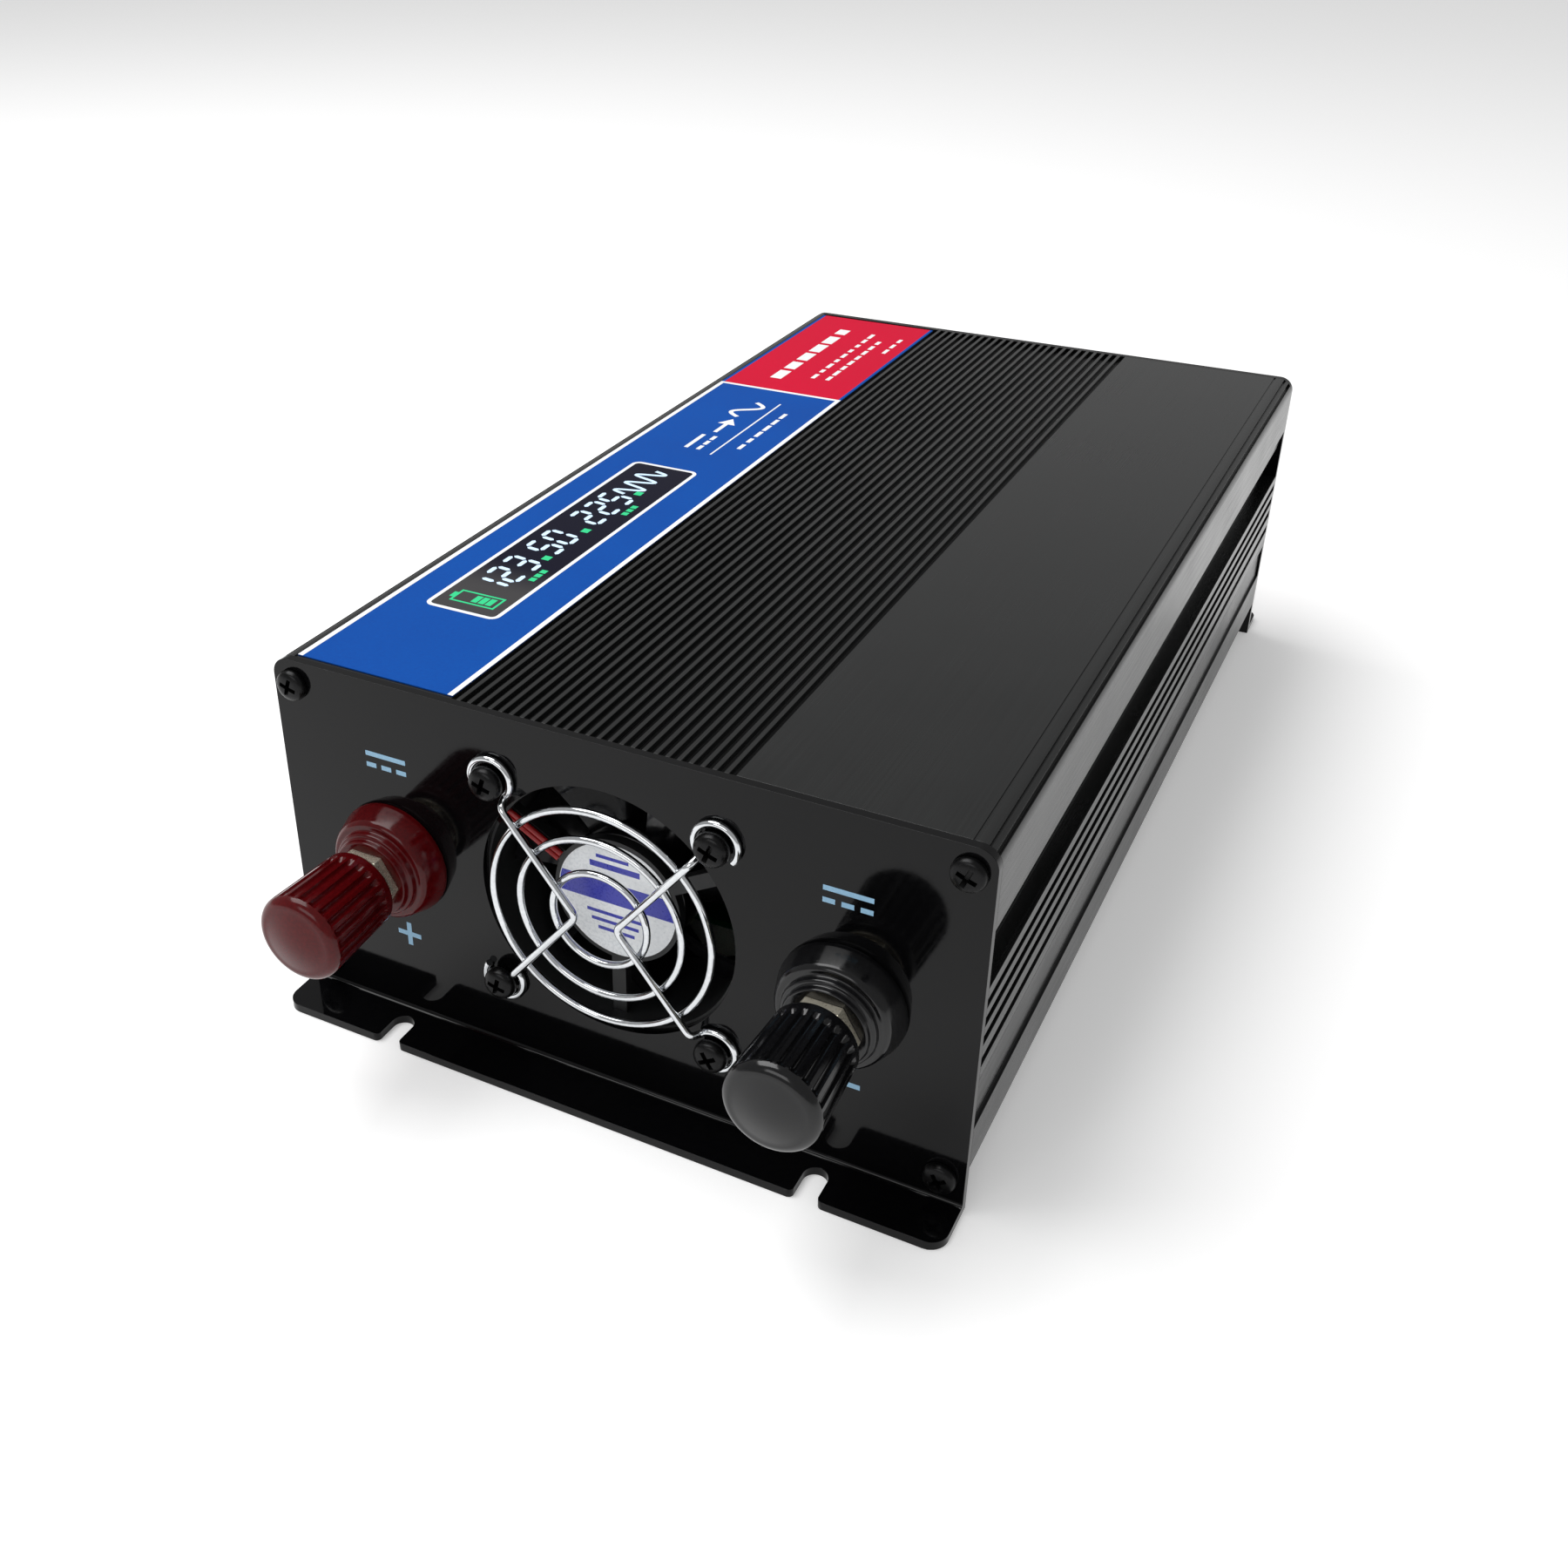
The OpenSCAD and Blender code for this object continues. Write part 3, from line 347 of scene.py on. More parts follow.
def screw_head(head_d, head_h):
    """A pan head over a short neck, with a tapered cross recess cut into it. Local Z points out."""
    r, h = head_d / 2, head_h
    profile = [(0, -0.3 * h), (r * 0.5, -0.3 * h), (r * 0.5, 0), (r, 0), (r, h * 0.42),
               (r * 0.9, h * 0.78), (r * 0.62, h * 0.96), (r * 0.3, h), (0, h)]
    head = turned("screw_head", softened(profile, 0.18 * r), 32)
    bm = bmesh.new()
    arm, half, floor = r * 0.6, r * 0.15, h * 0.3
    for turn in (0, pi / 2):
        spin = Matrix.Rotation(turn, 4, "Z")
        lower = [(-arm * 0.55, -half * 0.7, floor), (arm * 0.55, -half * 0.7, floor),
                 (arm * 0.55, half * 0.7, floor), (-arm * 0.55, half * 0.7, floor)]
        upper = [(-arm * 1.1, -half, h * 1.2), (arm * 1.1, -half, h * 1.2), (arm * 1.1, half, h * 1.2),
                 (-arm * 1.1, half, h * 1.2)]
        corners = [bm.verts.new(spin @ Vector(p)) for p in lower + upper]
        for face in ((3, 2, 1, 0), (4, 5, 6, 7), (0, 1, 5, 4), (1, 2, 6, 5), (2, 3, 7, 6), (3, 0, 4, 7)):
            bm.faces.new([corners[i] for i in face])
    cutter = meshed("cutter", bm, False)
    cut = head.modifiers.new("recess", "BOOLEAN")
    cut.operation = "DIFFERENCE"
    cut.solver = "EXACT"
    cut.use_self = True
    cut.object = cutter
    head = baked(head, "screw_head", 40)
    bpy.data.objects.remove(cutter)
    return head


def new_tree(name, **inputs):
    """A Geometry Nodes tree with the named inputs and a finish, and the sockets that give them."""
    tree = bpy.data.node_groups.new(name, "GeometryNodeTree")
    for label, kind in (*inputs.items(), ("Finish", "Material")):
        tree.interface.new_socket(label, in_out="INPUT", socket_type="NodeSocket" + kind)
    tree.interface.new_socket("Geometry", in_out="OUTPUT", socket_type="NodeSocketGeometry")
    return tree, add_node(tree, "NodeGroupInput").outputs


def closed_tree(tree, stood, given):
    """Ends a tree: its instances are made real and take the finish."""
    real = add_node(tree, "GeometryNodeRealizeInstances", {}, {0: stood.outputs[0]})
    dressed = add_node(tree, "GeometryNodeSetMaterial", {}, {
        "Geometry": real.outputs[0], "Material": given["Finish"]})
    add_node(tree, "NodeGroupOutput", {}, {"Geometry": dressed.outputs[0]})
    return tree


def screw_pattern():
    """A tree that stands one object on the corners of a rectangle, each at its own turn."""
    tree, given = new_tree("screw pattern", Head="Object", Width="Float", Height="Float",
                           Columns="Int", Rows="Int")
    grid = add_node(tree, "GeometryNodeMeshGrid", {}, {
        "Size X": given["Width"], "Size Y": given["Height"], "Vertices X": given["Columns"],
        "Vertices Y": given["Rows"]})
    head = add_node(tree, "GeometryNodeObjectInfo", {}, {"Object": given["Head"]})
    turn = add_node(tree, "FunctionNodeRandomValue", {"data_type": "FLOAT_VECTOR"}, {
        0: (0, 0, 0), 1: (0, 0, 2 * pi), "Seed": 7})
    stood = add_node(tree, "GeometryNodeInstanceOnPoints", {}, {
        "Points": grid.outputs["Mesh"], "Instance": head.outputs["Geometry"],
        "Rotation": turn.outputs[0]})
    return closed_tree(tree, stood, given)


def patterned(name, tree, matrix, **inputs):
    """Runs a tree with the given inputs on an empty mesh and returns the plain mesh it makes."""
    obj = link(bpy.data.objects.new(name, bpy.data.meshes.new(name)))
    made = obj.modifiers.new("made", "NODES")
    made.node_group = tree
    for item in tree.interface.items_tree:
        if item.in_out == "INPUT" and item.name in inputs:
            made[item.identifier] = inputs[item.name]
    obj.matrix_world = matrix
    return baked(obj, name, 40)


def facing(front, x, y, z):
    """The placing of a flat pattern on the front panel, or turned about to face the rear."""
    turn = Matrix.Identity(4) if front else Matrix.Rotation(pi, 4, "Z")
    return Matrix.Translation((x, y, z)) @ turn @ Matrix.Rotation(pi / 2, 4, "X")


black_oxide = finish("black oxide steel", "#0b0b0c", "#151516", 0.3, 0.7, grain_mm=0.35,
                     depth_mm=0.006)
rows_of_screws = screw_pattern()
rear_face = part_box("rear_panel")[0].y + sheet_t
screw_low, screw_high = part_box("panel_screws")
panel_screw_d, panel_screw_h = 7 * MM, 2.2 * MM
span_x = screw_high.x - screw_low.x - panel_screw_d
span_z = screw_high.z - screw_low.z - panel_screw_d
middle_z = (screw_low.z + screw_high.z) / 2
head = screw_head(panel_screw_d, panel_screw_h)
for front, face in ((True, front_face), (False, rear_face)):
    side_name = "front_panel_screws" if front else "rear_panel_screws"
    piece = patterned(side_name, rows_of_screws, facing(front, 0, face, middle_z), Head=head,
                      Width=span_x, Height=span_z, Columns=2, Rows=2, Finish=black_oxide)
    settle(piece, "case", ["panel_screws"])
bpy.data.objects.remove(head)

guard_low, guard_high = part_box("fan_guard")
guard_screw_low, guard_screw_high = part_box("fan_screws")
fan_z = (guard_low.z + guard_high.z) / 2
guard_head_d, guard_head_h = 7.4 * MM, 2.8 * MM
reach = (guard_screw_high.x - guard_screw_low.x - guard_head_d) / 2
head = screw_head(guard_head_d, guard_head_h)
piece = patterned("guard_screws", rows_of_screws,
                  facing(True, 0, guard_screw_low.y + guard_head_h, fan_z), Head=head,
                  Width=2 * reach, Height=2 * reach, Columns=2, Rows=2, Finish=black_oxide)
settle(piece, "case", ["fan_screws"])
bpy.data.objects.remove(head)

# ---- Printed film ----
# A polyester film printed in process colours, laid into a shallow land of the cover: blue in
# front, red at the back, white rules along its edges, and plain bars where it has wording.
film_blue = finish("blue printed film", "#0a479b", "#0d4fa5", 0.5, grain_mm=0.8, depth_mm=0.002,
                   specular=0.05, spread=0.05)
film_red = finish("red printed film", "#c60c31", "#d01137", 0.5, grain_mm=0.8, depth_mm=0.002,
                  specular=0.05, spread=0.05)
film_white = finish("white printed film", "#eef0f2", "#fbfbfc", 0.35, grain_mm=0.8, depth_mm=0.002)
film_low, film_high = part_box("top_label")
lens_low, lens_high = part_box("display_lens")
film_base = film_low.z
print_sink, print_rise = 0.06 * MM, 0.03 * MM
film_top = film_high.z - print_sink
split_y = front_face + 200 * MM


def on_top(level):
    return lambda u, v, h: (u, v, level + h)


def round_bar(u0, v0, u1, v1, r, steps=5):
    """A rectangle with round corners, counter-clockwise."""
    out = []
    for cx, cy, start in ((u1 - r, v1 - r, 0), (u0 + r, v1 - r, 90), (u0 + r, v0 + r, 180),
                          (u1 - r, v0 + r, 270)):
        for i in range(steps + 1):
            a = radians(start + 90 * i / steps)
            out.append((cx + r * cos(a), cy + r * sin(a)))
    return out


def film_with_window():
    """The film as four closed strips around the display's window, so that it has a real hole."""
    edge = 0.05 * MM
    x0, x1, x2, x3 = film_low.x, lens_low.x - edge, lens_high.x + edge, film_high.x
    y0, y1, y2, y3 = film_low.y, lens_low.y - edge, lens_high.y + edge, split_y
    strips = [bar(x0, y0, x3, y1), bar(x0, y1, x1, y2), bar(x2, y1, x3, y2), bar(x0, y2, x3, y3)]
    return prisms("film_blue", strips, on_top(film_base), film_top - film_base)


rule, stripe = 1.25 * MM, 0.9 * MM
settle(film_with_window(), "case", ["top_label"], film_blue)
red = prisms("film_red", [bar(film_low.x + stripe, split_y, film_high.x - stripe, film_high.y)],
             on_top(film_base), film_top - film_base)
settle(red, "case", [], film_red)
stripes = prisms("film_blue_edges", [
    bar(film_low.x, split_y, film_low.x + stripe, film_high.y),
    bar(film_high.x - stripe, split_y, film_high.x, film_high.y)], on_top(film_base),
    film_top - film_base)
settle(stripes, "case", [], film_blue)


def sine_ribbon(cx, cy, length, height, width, waves=1.0, steps=28):
    """A wave drawn along Y as one closed outline of even width."""
    centre = []
    for i in range(steps + 1):
        t = i / steps
        centre.append(Vector((cx - height * sin(2 * pi * waves * t), cy + (t - 0.5) * length)))
    sides = []
    for i, p in enumerate(centre):
        a = centre[max(i - 1, 0)]
        b = centre[min(i + 1, steps)]
        along = (b - a).normalized()
        across = Vector((along.y, -along.x)) * width / 2
        sides.append((p + across, p - across))
    left = [tuple(s[0]) for s in sides]
    right = [tuple(s[1]) for s in sides]
    return [left + right[::-1]]


def film_print():
    """White rules at the edges and across the film, and generic marks in place of wording."""
    shapes = [bar(film_low.x, film_low.y, film_low.x + rule, split_y),
              bar(film_high.x - rule, film_low.y, film_high.x, split_y),
              bar(film_low.x + rule, split_y - rule, film_high.x - rule, split_y)]
    # The rating: a direct-current sign, an arrow and a sine wave, read along the case
    middle = (film_low.x + film_high.x) / 2 - 1.5 * MM
    start = front_face + 146 * MM
    shapes.append(bar(middle - 2.4 * MM, start, middle - 1.2 * MM, start + 11 * MM))
    for i in range(3):
        y = start + i * 4 * MM
        shapes.append(bar(middle + 1.2 * MM, y, middle + 2.4 * MM, y + 3 * MM))
    shapes.append(bar(middle - 0.6 * MM, start + 14 * MM, middle + 0.6 * MM, start + 21 * MM))
    shapes.append([(middle - 2.6 * MM, start + 21 * MM), (middle + 2.6 * MM, start + 21 * MM),
                   (middle, start + 25.5 * MM)])
    shapes += sine_ribbon(middle, start + 34.5 * MM, 13 * MM, 3.4 * MM, 1.3 * MM)
    shapes.append(bar(middle + 6.4 * MM, start - 2 * MM, middle + 6.9 * MM, start + 43 * MM))
    return prisms("film_print", shapes, on_top(film_top), print_rise)


settle(film_print(), "case", [], film_white)


def word_rows():
    """A tree that lays bars of seeded random lengths along Y, as lines of words would stand."""
    tree, given = new_tree("rows of bars", Count="Int", Pitch="Float", Width="Float", Seed="Int")
    step = add_node(tree, "ShaderNodeCombineXYZ", {}, {"Y": given["Pitch"]})
    row = add_node(tree, "GeometryNodeMeshLine", {}, {"Count": given["Count"], "Offset": step.outputs[0]})
    size = add_node(tree, "ShaderNodeCombineXYZ", {}, {
        "X": given["Width"], "Y": given["Pitch"], "Z": print_rise})
    block = add_node(tree, "GeometryNodeMeshCube", {}, {"Size": size.outputs[0]})
    share = add_node(tree, "FunctionNodeRandomValue", {"data_type": "FLOAT"}, {
        2: 0.45, 3: 0.86, "Seed": given["Seed"]})
    scale = add_node(tree, "ShaderNodeCombineXYZ", {}, {"X": 1.0, "Y": share.outputs[1], "Z": 1.0})
    laid = add_node(tree, "GeometryNodeInstanceOnPoints", {}, {
        "Points": row.outputs[0], "Instance": block.outputs["Mesh"], "Scale": scale.outputs[0]})
    return closed_tree(tree, laid, given)


bars_tree = word_rows()
# Each row: its place across the film, its start along the case, bars, their pitch and width in
# millimetres, and the seed of their lengths.
for row, (across, begin, count, pitch, width, seed) in enumerate((
        (0.34, 209, 6, 9.6, 3.6, 3), (0.60, 214, 9, 5.6, 1.3, 4), (0.72, 214, 8, 5.6, 1.3, 5),
        (0.86, 246, 3, 6.0, 1.2, 6), (0.76, 150.3, 6, 5.4, 1.2, 11))):
    x = film_low.x + across * (film_high.x - film_low.x)
    at = Matrix.Translation((x, front_face + (begin + pitch / 2) * MM, film_top + print_rise / 2))
    piece = patterned(f"film_bars_{row + 1}", bars_tree, at, Count=count, Pitch=pitch * MM,
                      Width=width * MM, Seed=seed, Finish=film_white)
    settle(piece, "case", [])

# ---- Display ----
# A smoked acrylic window in a white printed frame. Behind it a colour panel shows battery volts,
# mains frequency and mains volts in seven-segment figures, with a battery sign and a wave sign.


def smoked_window():
    """Dark acrylic that is grey at the battery end and blue-black over the rest."""
    material = bpy.data.materials.new("smoked acrylic")
    material.use_nodes = True
    tree = material.node_tree
    shader = tree.nodes["Principled BSDF"]
    place = add_node(tree, "ShaderNodeTexCoord").outputs["Object"]
    parts = add_node(tree, "ShaderNodeSeparateXYZ", {}, {0: place})
    shade = add_node(tree, "ShaderNodeMapRange", {"interpolation_type": "SMOOTHSTEP"}, {
        "Value": parts.outputs["Y"], "From Min": lens_low.y + 11 * MM, "From Max": lens_low.y + 27 * MM})
    colour = add_node(tree, "ShaderNodeMix", {"data_type": "RGBA"}, {
        0: shade.outputs[0], 6: linear("#424142"), 7: linear("#0c0c20")})
    dust = add_node(tree, "ShaderNodeTexNoise", {}, {"Vector": place, "Scale": 900.0})
    rough = add_node(tree, "ShaderNodeMapRange", {}, {
        "Value": dust.outputs[0], "To Min": 0.1, "To Max": 0.26})
    tree.links.new(colour.outputs[2], shader.inputs["Base Color"])
    tree.links.new(rough.outputs[0], shader.inputs["Roughness"])
    shader.inputs["Specular IOR Level"].default_value = 0.05
    return material


def glowing(name, colour, strength):
    """Lit ink of the colour panel: it gives a little light of its own."""
    material = finish(name, colour, colour, 0.4, grain_mm=0.4, depth_mm=0.001)
    shader = material.node_tree.nodes["Principled BSDF"]
    shader.inputs["Emission Color"].default_value = linear(colour)
    shader.inputs["Emission Strength"].default_value = strength
    return material


window_r = 1.2 * MM
window_top = lens_high.z - print_sink
window = prisms("display_window", [round_bar(lens_low.x, lens_low.y, lens_high.x, lens_high.y, window_r)],
                on_top(lens_low.z), window_top - lens_low.z)
settle(window, "case", ["display_lens"], smoked_window())


def ring_outline(u0, v0, u1, v1, r, width):
    """A round-cornered frame as quads between an inner and an outer outline."""
    inner = round_bar(u0, v0, u1, v1, r)
    outer = round_bar(u0 - width, v0 - width, u1 + width, v1 + width, r + width)
    count = len(inner)
    return [[inner[i], outer[i], outer[(i + 1) % count], inner[(i + 1) % count]] for i in range(count)]


frame_w = 1.0 * MM
window_frame = prisms("window_frame", ring_outline(lens_low.x, lens_low.y, lens_high.x, lens_high.y,
                                                   window_r, frame_w), on_top(film_top), print_rise)
settle(window_frame, "case", [], film_white)

# Segments a to g of a figure, in the usual order: top, upper right, lower right, bottom, lower
# left, upper left, middle. Figures are read from the left of the case, so they grow along +Y.
SEGMENTS = {"0": "abcdef", "1": "bc", "2": "abged", "3": "abgcd", "5": "afgcd"}


def figure_strokes(text, start_y, foot_x, height, width, stroke, gap, slant=0.12):
    """The strokes of a row of figures as closed outlines: foot_x is the base line."""
    def at(u, v):
        return (foot_x - v, start_y + u + slant * v)

    def flat(u0, u1, v):
        tip = stroke / 2
        return [(u0, v), (u0 + tip, v + tip), (u1 - tip, v + tip), (u1, v), (u1 - tip, v - tip),
                (u0 + tip, v - tip)]

    def upright(u, v0, v1):
        tip = stroke / 2
        return [(u, v0), (u - tip, v0 + tip), (u - tip, v1 - tip), (u, v1), (u + tip, v1 - tip),
                (u + tip, v0 + tip)]

    out = []
    left = 0.0
    for mark in text:
        right, crumb = left + width, 0.08 * width
        top, mid = height, height / 2
        strokes = {
            "a": flat(left + crumb, right - crumb, top), "g": flat(left + crumb, right - crumb, mid),
            "d": flat(left + crumb, right - crumb, 0), "b": upright(right, mid + crumb, top - crumb),
            "c": upright(right, crumb, mid - crumb), "e": upright(left, crumb, mid - crumb),
            "f": upright(left, mid + crumb, top - crumb)}
        for letter in SEGMENTS[mark]:
            out.append([at(u, v) for u, v in strokes[letter]])
        left = right + stroke + gap
    return out


figure_base = lens_high.x - 5.6 * MM
figure_h = 8.4 * MM
figure_w = 4.4 * MM
stroke = 1.2 * MM
y0 = lens_low.y
figure_gap = 1.1 * MM
figures = []
for value, start in (("123", 10.5), ("50", 34), ("225", 54)):
    figures += figure_strokes(value, y0 + start * MM, figure_base, figure_h, figure_w, stroke, figure_gap)
lit = glowing("lit white segments", "#c4dcf2", 0.35)
settle(prisms("display_figures", figures, on_top(window_top), print_rise), "case", [], lit)


def wave_sign():
    """A bold output wave, as the panel's sign that mains power is on."""
    return prisms("display_wave", sine_ribbon(lens_high.x - 9.5 * MM, y0 + 82.5 * MM, 17 * MM, 3.6 * MM,
                                              1.0 * MM, 3.0, 54), on_top(window_top), print_rise)


settle(wave_sign(), "case", [], lit)


def green_signs():
    """A battery with two thirds of charge, and small bars after each figure for its unit."""
    shapes = []
    x0, x1 = lens_low.x + 3 * MM, lens_high.x - 2.4 * MM
    near, far, line = y0 + 3.2 * MM, y0 + 8.8 * MM, 0.55 * MM
    shapes.append(bar(x0, near, x1, near + line))
    shapes.append(bar(x0, far - line, x1, far))
    shapes.append(bar(x0, near + line, x0 + line, far - line))
    shapes.append(bar(x1 - line, near + line, x1, far - line))
    shapes.append(bar(x0 - 1.0 * MM, near + 1.6 * MM, x0, far - 1.6 * MM))
    charge = (x1 - x0 - 2.4 * MM) / 5
    for i in range(2, 5):
        left = x0 + 1.2 * MM + i * charge
        shapes.append(bar(left, near + 1.2 * MM, left + charge * 0.82, far - 1.2 * MM))
    for end in (30.6, 48.4, 74.6):
        shapes.append(bar(figure_base - 1.6 * MM, y0 + end * MM, figure_base + 0.4 * MM,
                          y0 + (end + 2.2) * MM))
    for start, count in ((19.5, 3), (62, 3)):
        for i in range(count):
            shapes.append(bar(figure_base + 1.9 * MM, y0 + (start + 2.3 * i) * MM,
                              figure_base + 3.5 * MM, y0 + (start + 2.3 * i + 1.7) * MM))
    return prisms("display_signs", shapes, on_top(window_top), print_rise)


settle(green_signs(), "case", [], glowing("lit green signs", "#18c27e", 0.25))

# ---- Fan ----
# A 60 mm brushless fan moulded in glass-filled black plastic. Its hub faces out on three struts,
# with a round sticker on it. The wheel behind has seven swept blades with a fine moulded gloss.
frame_plastic = finish("black glass-filled plastic", "#0e0f10", "#18191a", 0.5, grain_mm=0.4,
                       depth_mm=0.012)
settle(broken_edges("fan_frame", "fan_housing", 0.25), "case", ["fan_frame"],
       frame_plastic)
blade_gloss = finish("glossy black blade plastic", "#060607", "#0c0c0e", 0.16, grain_mm=1.0,
                     depth_mm=0.002)
wheel_low, wheel_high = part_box("fan_rotor")
wheel_r = (wheel_high.z - wheel_low.z) / 2
wheel_depth = wheel_high.y - wheel_low.y
cup_r = 14 * MM


def fan_cup():
    """The wheel's cup: open towards the hub, with a round shoulder at the back."""
    wall, back = 2 * MM, wheel_depth
    profile = [(0, -back), (cup_r, -back), (cup_r, 0), (cup_r - wall, 0), (cup_r - wall, -back + wall),
               (1.5 * MM, -back + wall), (1.5 * MM, -back + wall + 1.5 * MM),
               (0, -back + wall + 1.5 * MM)]
    return outward(turned("fan_cup", softened(profile, 1.2 * MM), 72), 0, wheel_low.y, fan_z)


def fan_blade():
    """One blade as a curved sheet: it is pitched steeper at its root than at its tip."""
    rows, columns = 8, 12
    bm = bmesh.new()
    grid = []
    for i in range(rows + 1):
        t = i / rows
        r = cup_r - 0.4 * MM + t * (wheel_r - 0.35 * MM - cup_r + 0.4 * MM)
        pitch = radians(52 - 16 * t)
        chord = (17.5 + 5.5 * t) * MM
        sweep = radians(9) * t
        row = []
        for j in range(columns + 1):
            s = j / columns - 0.5
            camber = 1.9 * MM * (1 - 4 * s * s)
            around = chord * s * cos(pitch) - camber * sin(pitch)
            depth = chord * s * sin(pitch) + camber * cos(pitch)
            depth = max(min(depth, wheel_depth / 2 - 0.8 * MM), -wheel_depth / 2 + 0.8 * MM)
            a = around / r + sweep
            row.append(bm.verts.new((r * cos(a), r * sin(a), depth - wheel_depth / 2)))
        grid.append(row)
    for one, two in zip(grid, grid[1:]):
        for j in range(columns):
            bm.faces.new((one[j], one[j + 1], two[j + 1], two[j]))
    blade = meshed("fan_blade", bm, False)
    wall = blade.modifiers.new("wall", "SOLIDIFY")
    wall.thickness = 1.0 * MM
    wall.offset = 0
    return baked(blade, "fan_blade", 50)


def wheel_tree():
    """A tree that stands one blade around the wheel's axis, the given number of times."""
    tree, given = new_tree("blades around a hub", Blade="Object", Count="Int")
    centre = add_node(tree, "GeometryNodeMeshLine", {}, {"Count": given["Count"], "Offset": (0, 0, 0)})
    index = add_node(tree, "GeometryNodeInputIndex").outputs[0]
    step = add_node(tree, "ShaderNodeMath", {"operation": "DIVIDE"}, {0: 2 * pi, 1: given["Count"]})
    angle = add_node(tree, "ShaderNodeMath", {"operation": "MULTIPLY"}, {0: index, 1: step.outputs[0]})
    turn = add_node(tree, "ShaderNodeCombineXYZ", {}, {"Z": angle.outputs[0]})
    blade = add_node(tree, "GeometryNodeObjectInfo", {}, {"Object": given["Blade"]})
    stood = add_node(tree, "GeometryNodeInstanceOnPoints", {}, {
        "Points": centre.outputs[0], "Instance": blade.outputs["Geometry"], "Rotation": turn.outputs[0]})
    return closed_tree(tree, stood, given)


settle(baked(fan_cup(), "fan_cup"), "fan_wheel", ["fan_rotor"], blade_gloss)
blade = fan_blade()
around_hub = wheel_tree()
blades = patterned("fan_blades", around_hub, outward(blade, 0, wheel_low.y, fan_z).matrix_world.copy(),
                   Blade=blade, Count=7, Finish=blade_gloss)
bpy.data.objects.remove(blade)
settle(blades, "fan_wheel", ["fan_rotor"])

# The sticker is white coated paper with a blue band and plain bars in place of its wording.
sticker_low, sticker_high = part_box("fan_sticker")
sticker_r = (sticker_high.x - sticker_low.x) / 2
paper = finish("white coated paper", "#dfe3e6", "#f4f6f7", 0.3, grain_mm=0.7, depth_mm=0.003)
label_blue = finish("blue label ink", "#2a2f9c", "#343ab0", 0.3, grain_mm=0.5, depth_mm=0.002)
paper_t = (sticker_high.y - sticker_low.y) * 0.7
sticker = outward(turned("fan_label", softened([(0, 0), (sticker_r, 0), (sticker_r, paper_t),
                  (0, paper_t)], 0.05 * MM), 72), 0, sticker_high.y, fan_z)
settle(baked(sticker, "fan_label", 60), "case", ["fan_sticker"], paper)


def on_sticker(u, v, h):
    return (u, sticker_high.y - paper_t - h, fan_z + v)


def disc_band(r, low_v, high_v, steps=14):
    """The slice of a disc between two heights."""
    right = [asin(low_v / r) + (asin(high_v / r) - asin(low_v / r)) * i / steps for i in range(steps + 1)]
    points = [(r * cos(a), r * sin(a)) for a in right]
    return points + [(-u, v) for u, v in reversed(points)]


band = prisms("label_band", [disc_band(sticker_r * 0.985, -1.0 * MM, 4.2 * MM)], on_sticker, print_rise)
settle(band, "case", [], label_blue)
marks = [bar(-6 * MM, 7.2 * MM, 5.5 * MM, 8.6 * MM), bar(-4.5 * MM, 9.6 * MM, 3 * MM, 10.4 * MM),
         bar(-7 * MM, -4.2 * MM, 6.4 * MM, -3.4 * MM), bar(-6 * MM, -6.2 * MM, 5 * MM, -5.4 * MM),
         bar(-4.5 * MM, -8.2 * MM, 4 * MM, -7.4 * MM)]
settle(prisms("label_marks", marks, on_sticker, print_rise), "case", [], label_blue)

# The stator, shaft, bearings and lead keep their CAD shapes: steel laminations and pins, and
# tinned copper wire in a smooth coloured sleeve.


def dress(material, *nodes):
    """Gives CAD nodes a finish through their own material slots."""
    for node in nodes:
        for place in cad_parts[node].material_slots:
            place.material = material


bright_steel = finish("bright zinc plated steel", "#a9adb0", "#c6c9cb", 0.26, 1.0, grain_mm=0.4,
                      depth_mm=0.006)
wound_copper = finish("enamelled copper winding", "#7c3312", "#a5501f", 0.3, 0.85, grain_mm=0.35,
                      depth_mm=0.05, along=(1, 1, 2.4))
red_sleeve = finish("red wire insulation", "#8d0d10", "#a81418", 0.35, grain_mm=0.5, depth_mm=0.006)
dress(wound_copper, "fan_stator")
dress(bright_steel, "fan_shaft", "fan_bearings", "fan_nuts")
dress(red_sleeve, "fan_lead")

# ---- Fan guard ----
# Drawn steel wire, 1.6 mm thick, chrome plated: three welded rings under two V-shaped legs. Each
# leg's ends step down to the panel and are rolled into open eyes around the guard's screws.
chrome = finish("bright chrome plate", "#c9cccf", "#dfe1e3", 0.1, 1.0, grain_mm=0.7, depth_mm=0.002,
                spread=0.04)
wire_r = 0.8 * MM
ring_rise = 2.2 * MM
leg_rise = ring_rise + 2 * wire_r - 0.1 * MM


def wires(name, paths, radius):
    """Round wires along paths, each (points, closed), as one mesh. Local Z points out of the panel."""
    curve = bpy.data.curves.new(name, "CURVE")
    curve.dimensions = "3D"
    curve.bevel_depth = radius
    curve.bevel_resolution = 4
    curve.use_fill_caps = True
    for points, closed in paths:
        line = curve.splines.new("POLY")
        line.points.add(len(points) - 1)
        for spot, point in zip(line.points, points):
            spot.co = (*point, 1)
        line.use_cyclic_u = closed
    return baked(outward(link(bpy.data.objects.new(name, curve)), 0, front_face, fan_z), name, 60)


def circle_path(r, level, steps=96):
    angles = [2 * pi * i / steps for i in range(steps)]
    return [Vector((r * cos(a), r * sin(a), level)) for a in angles]


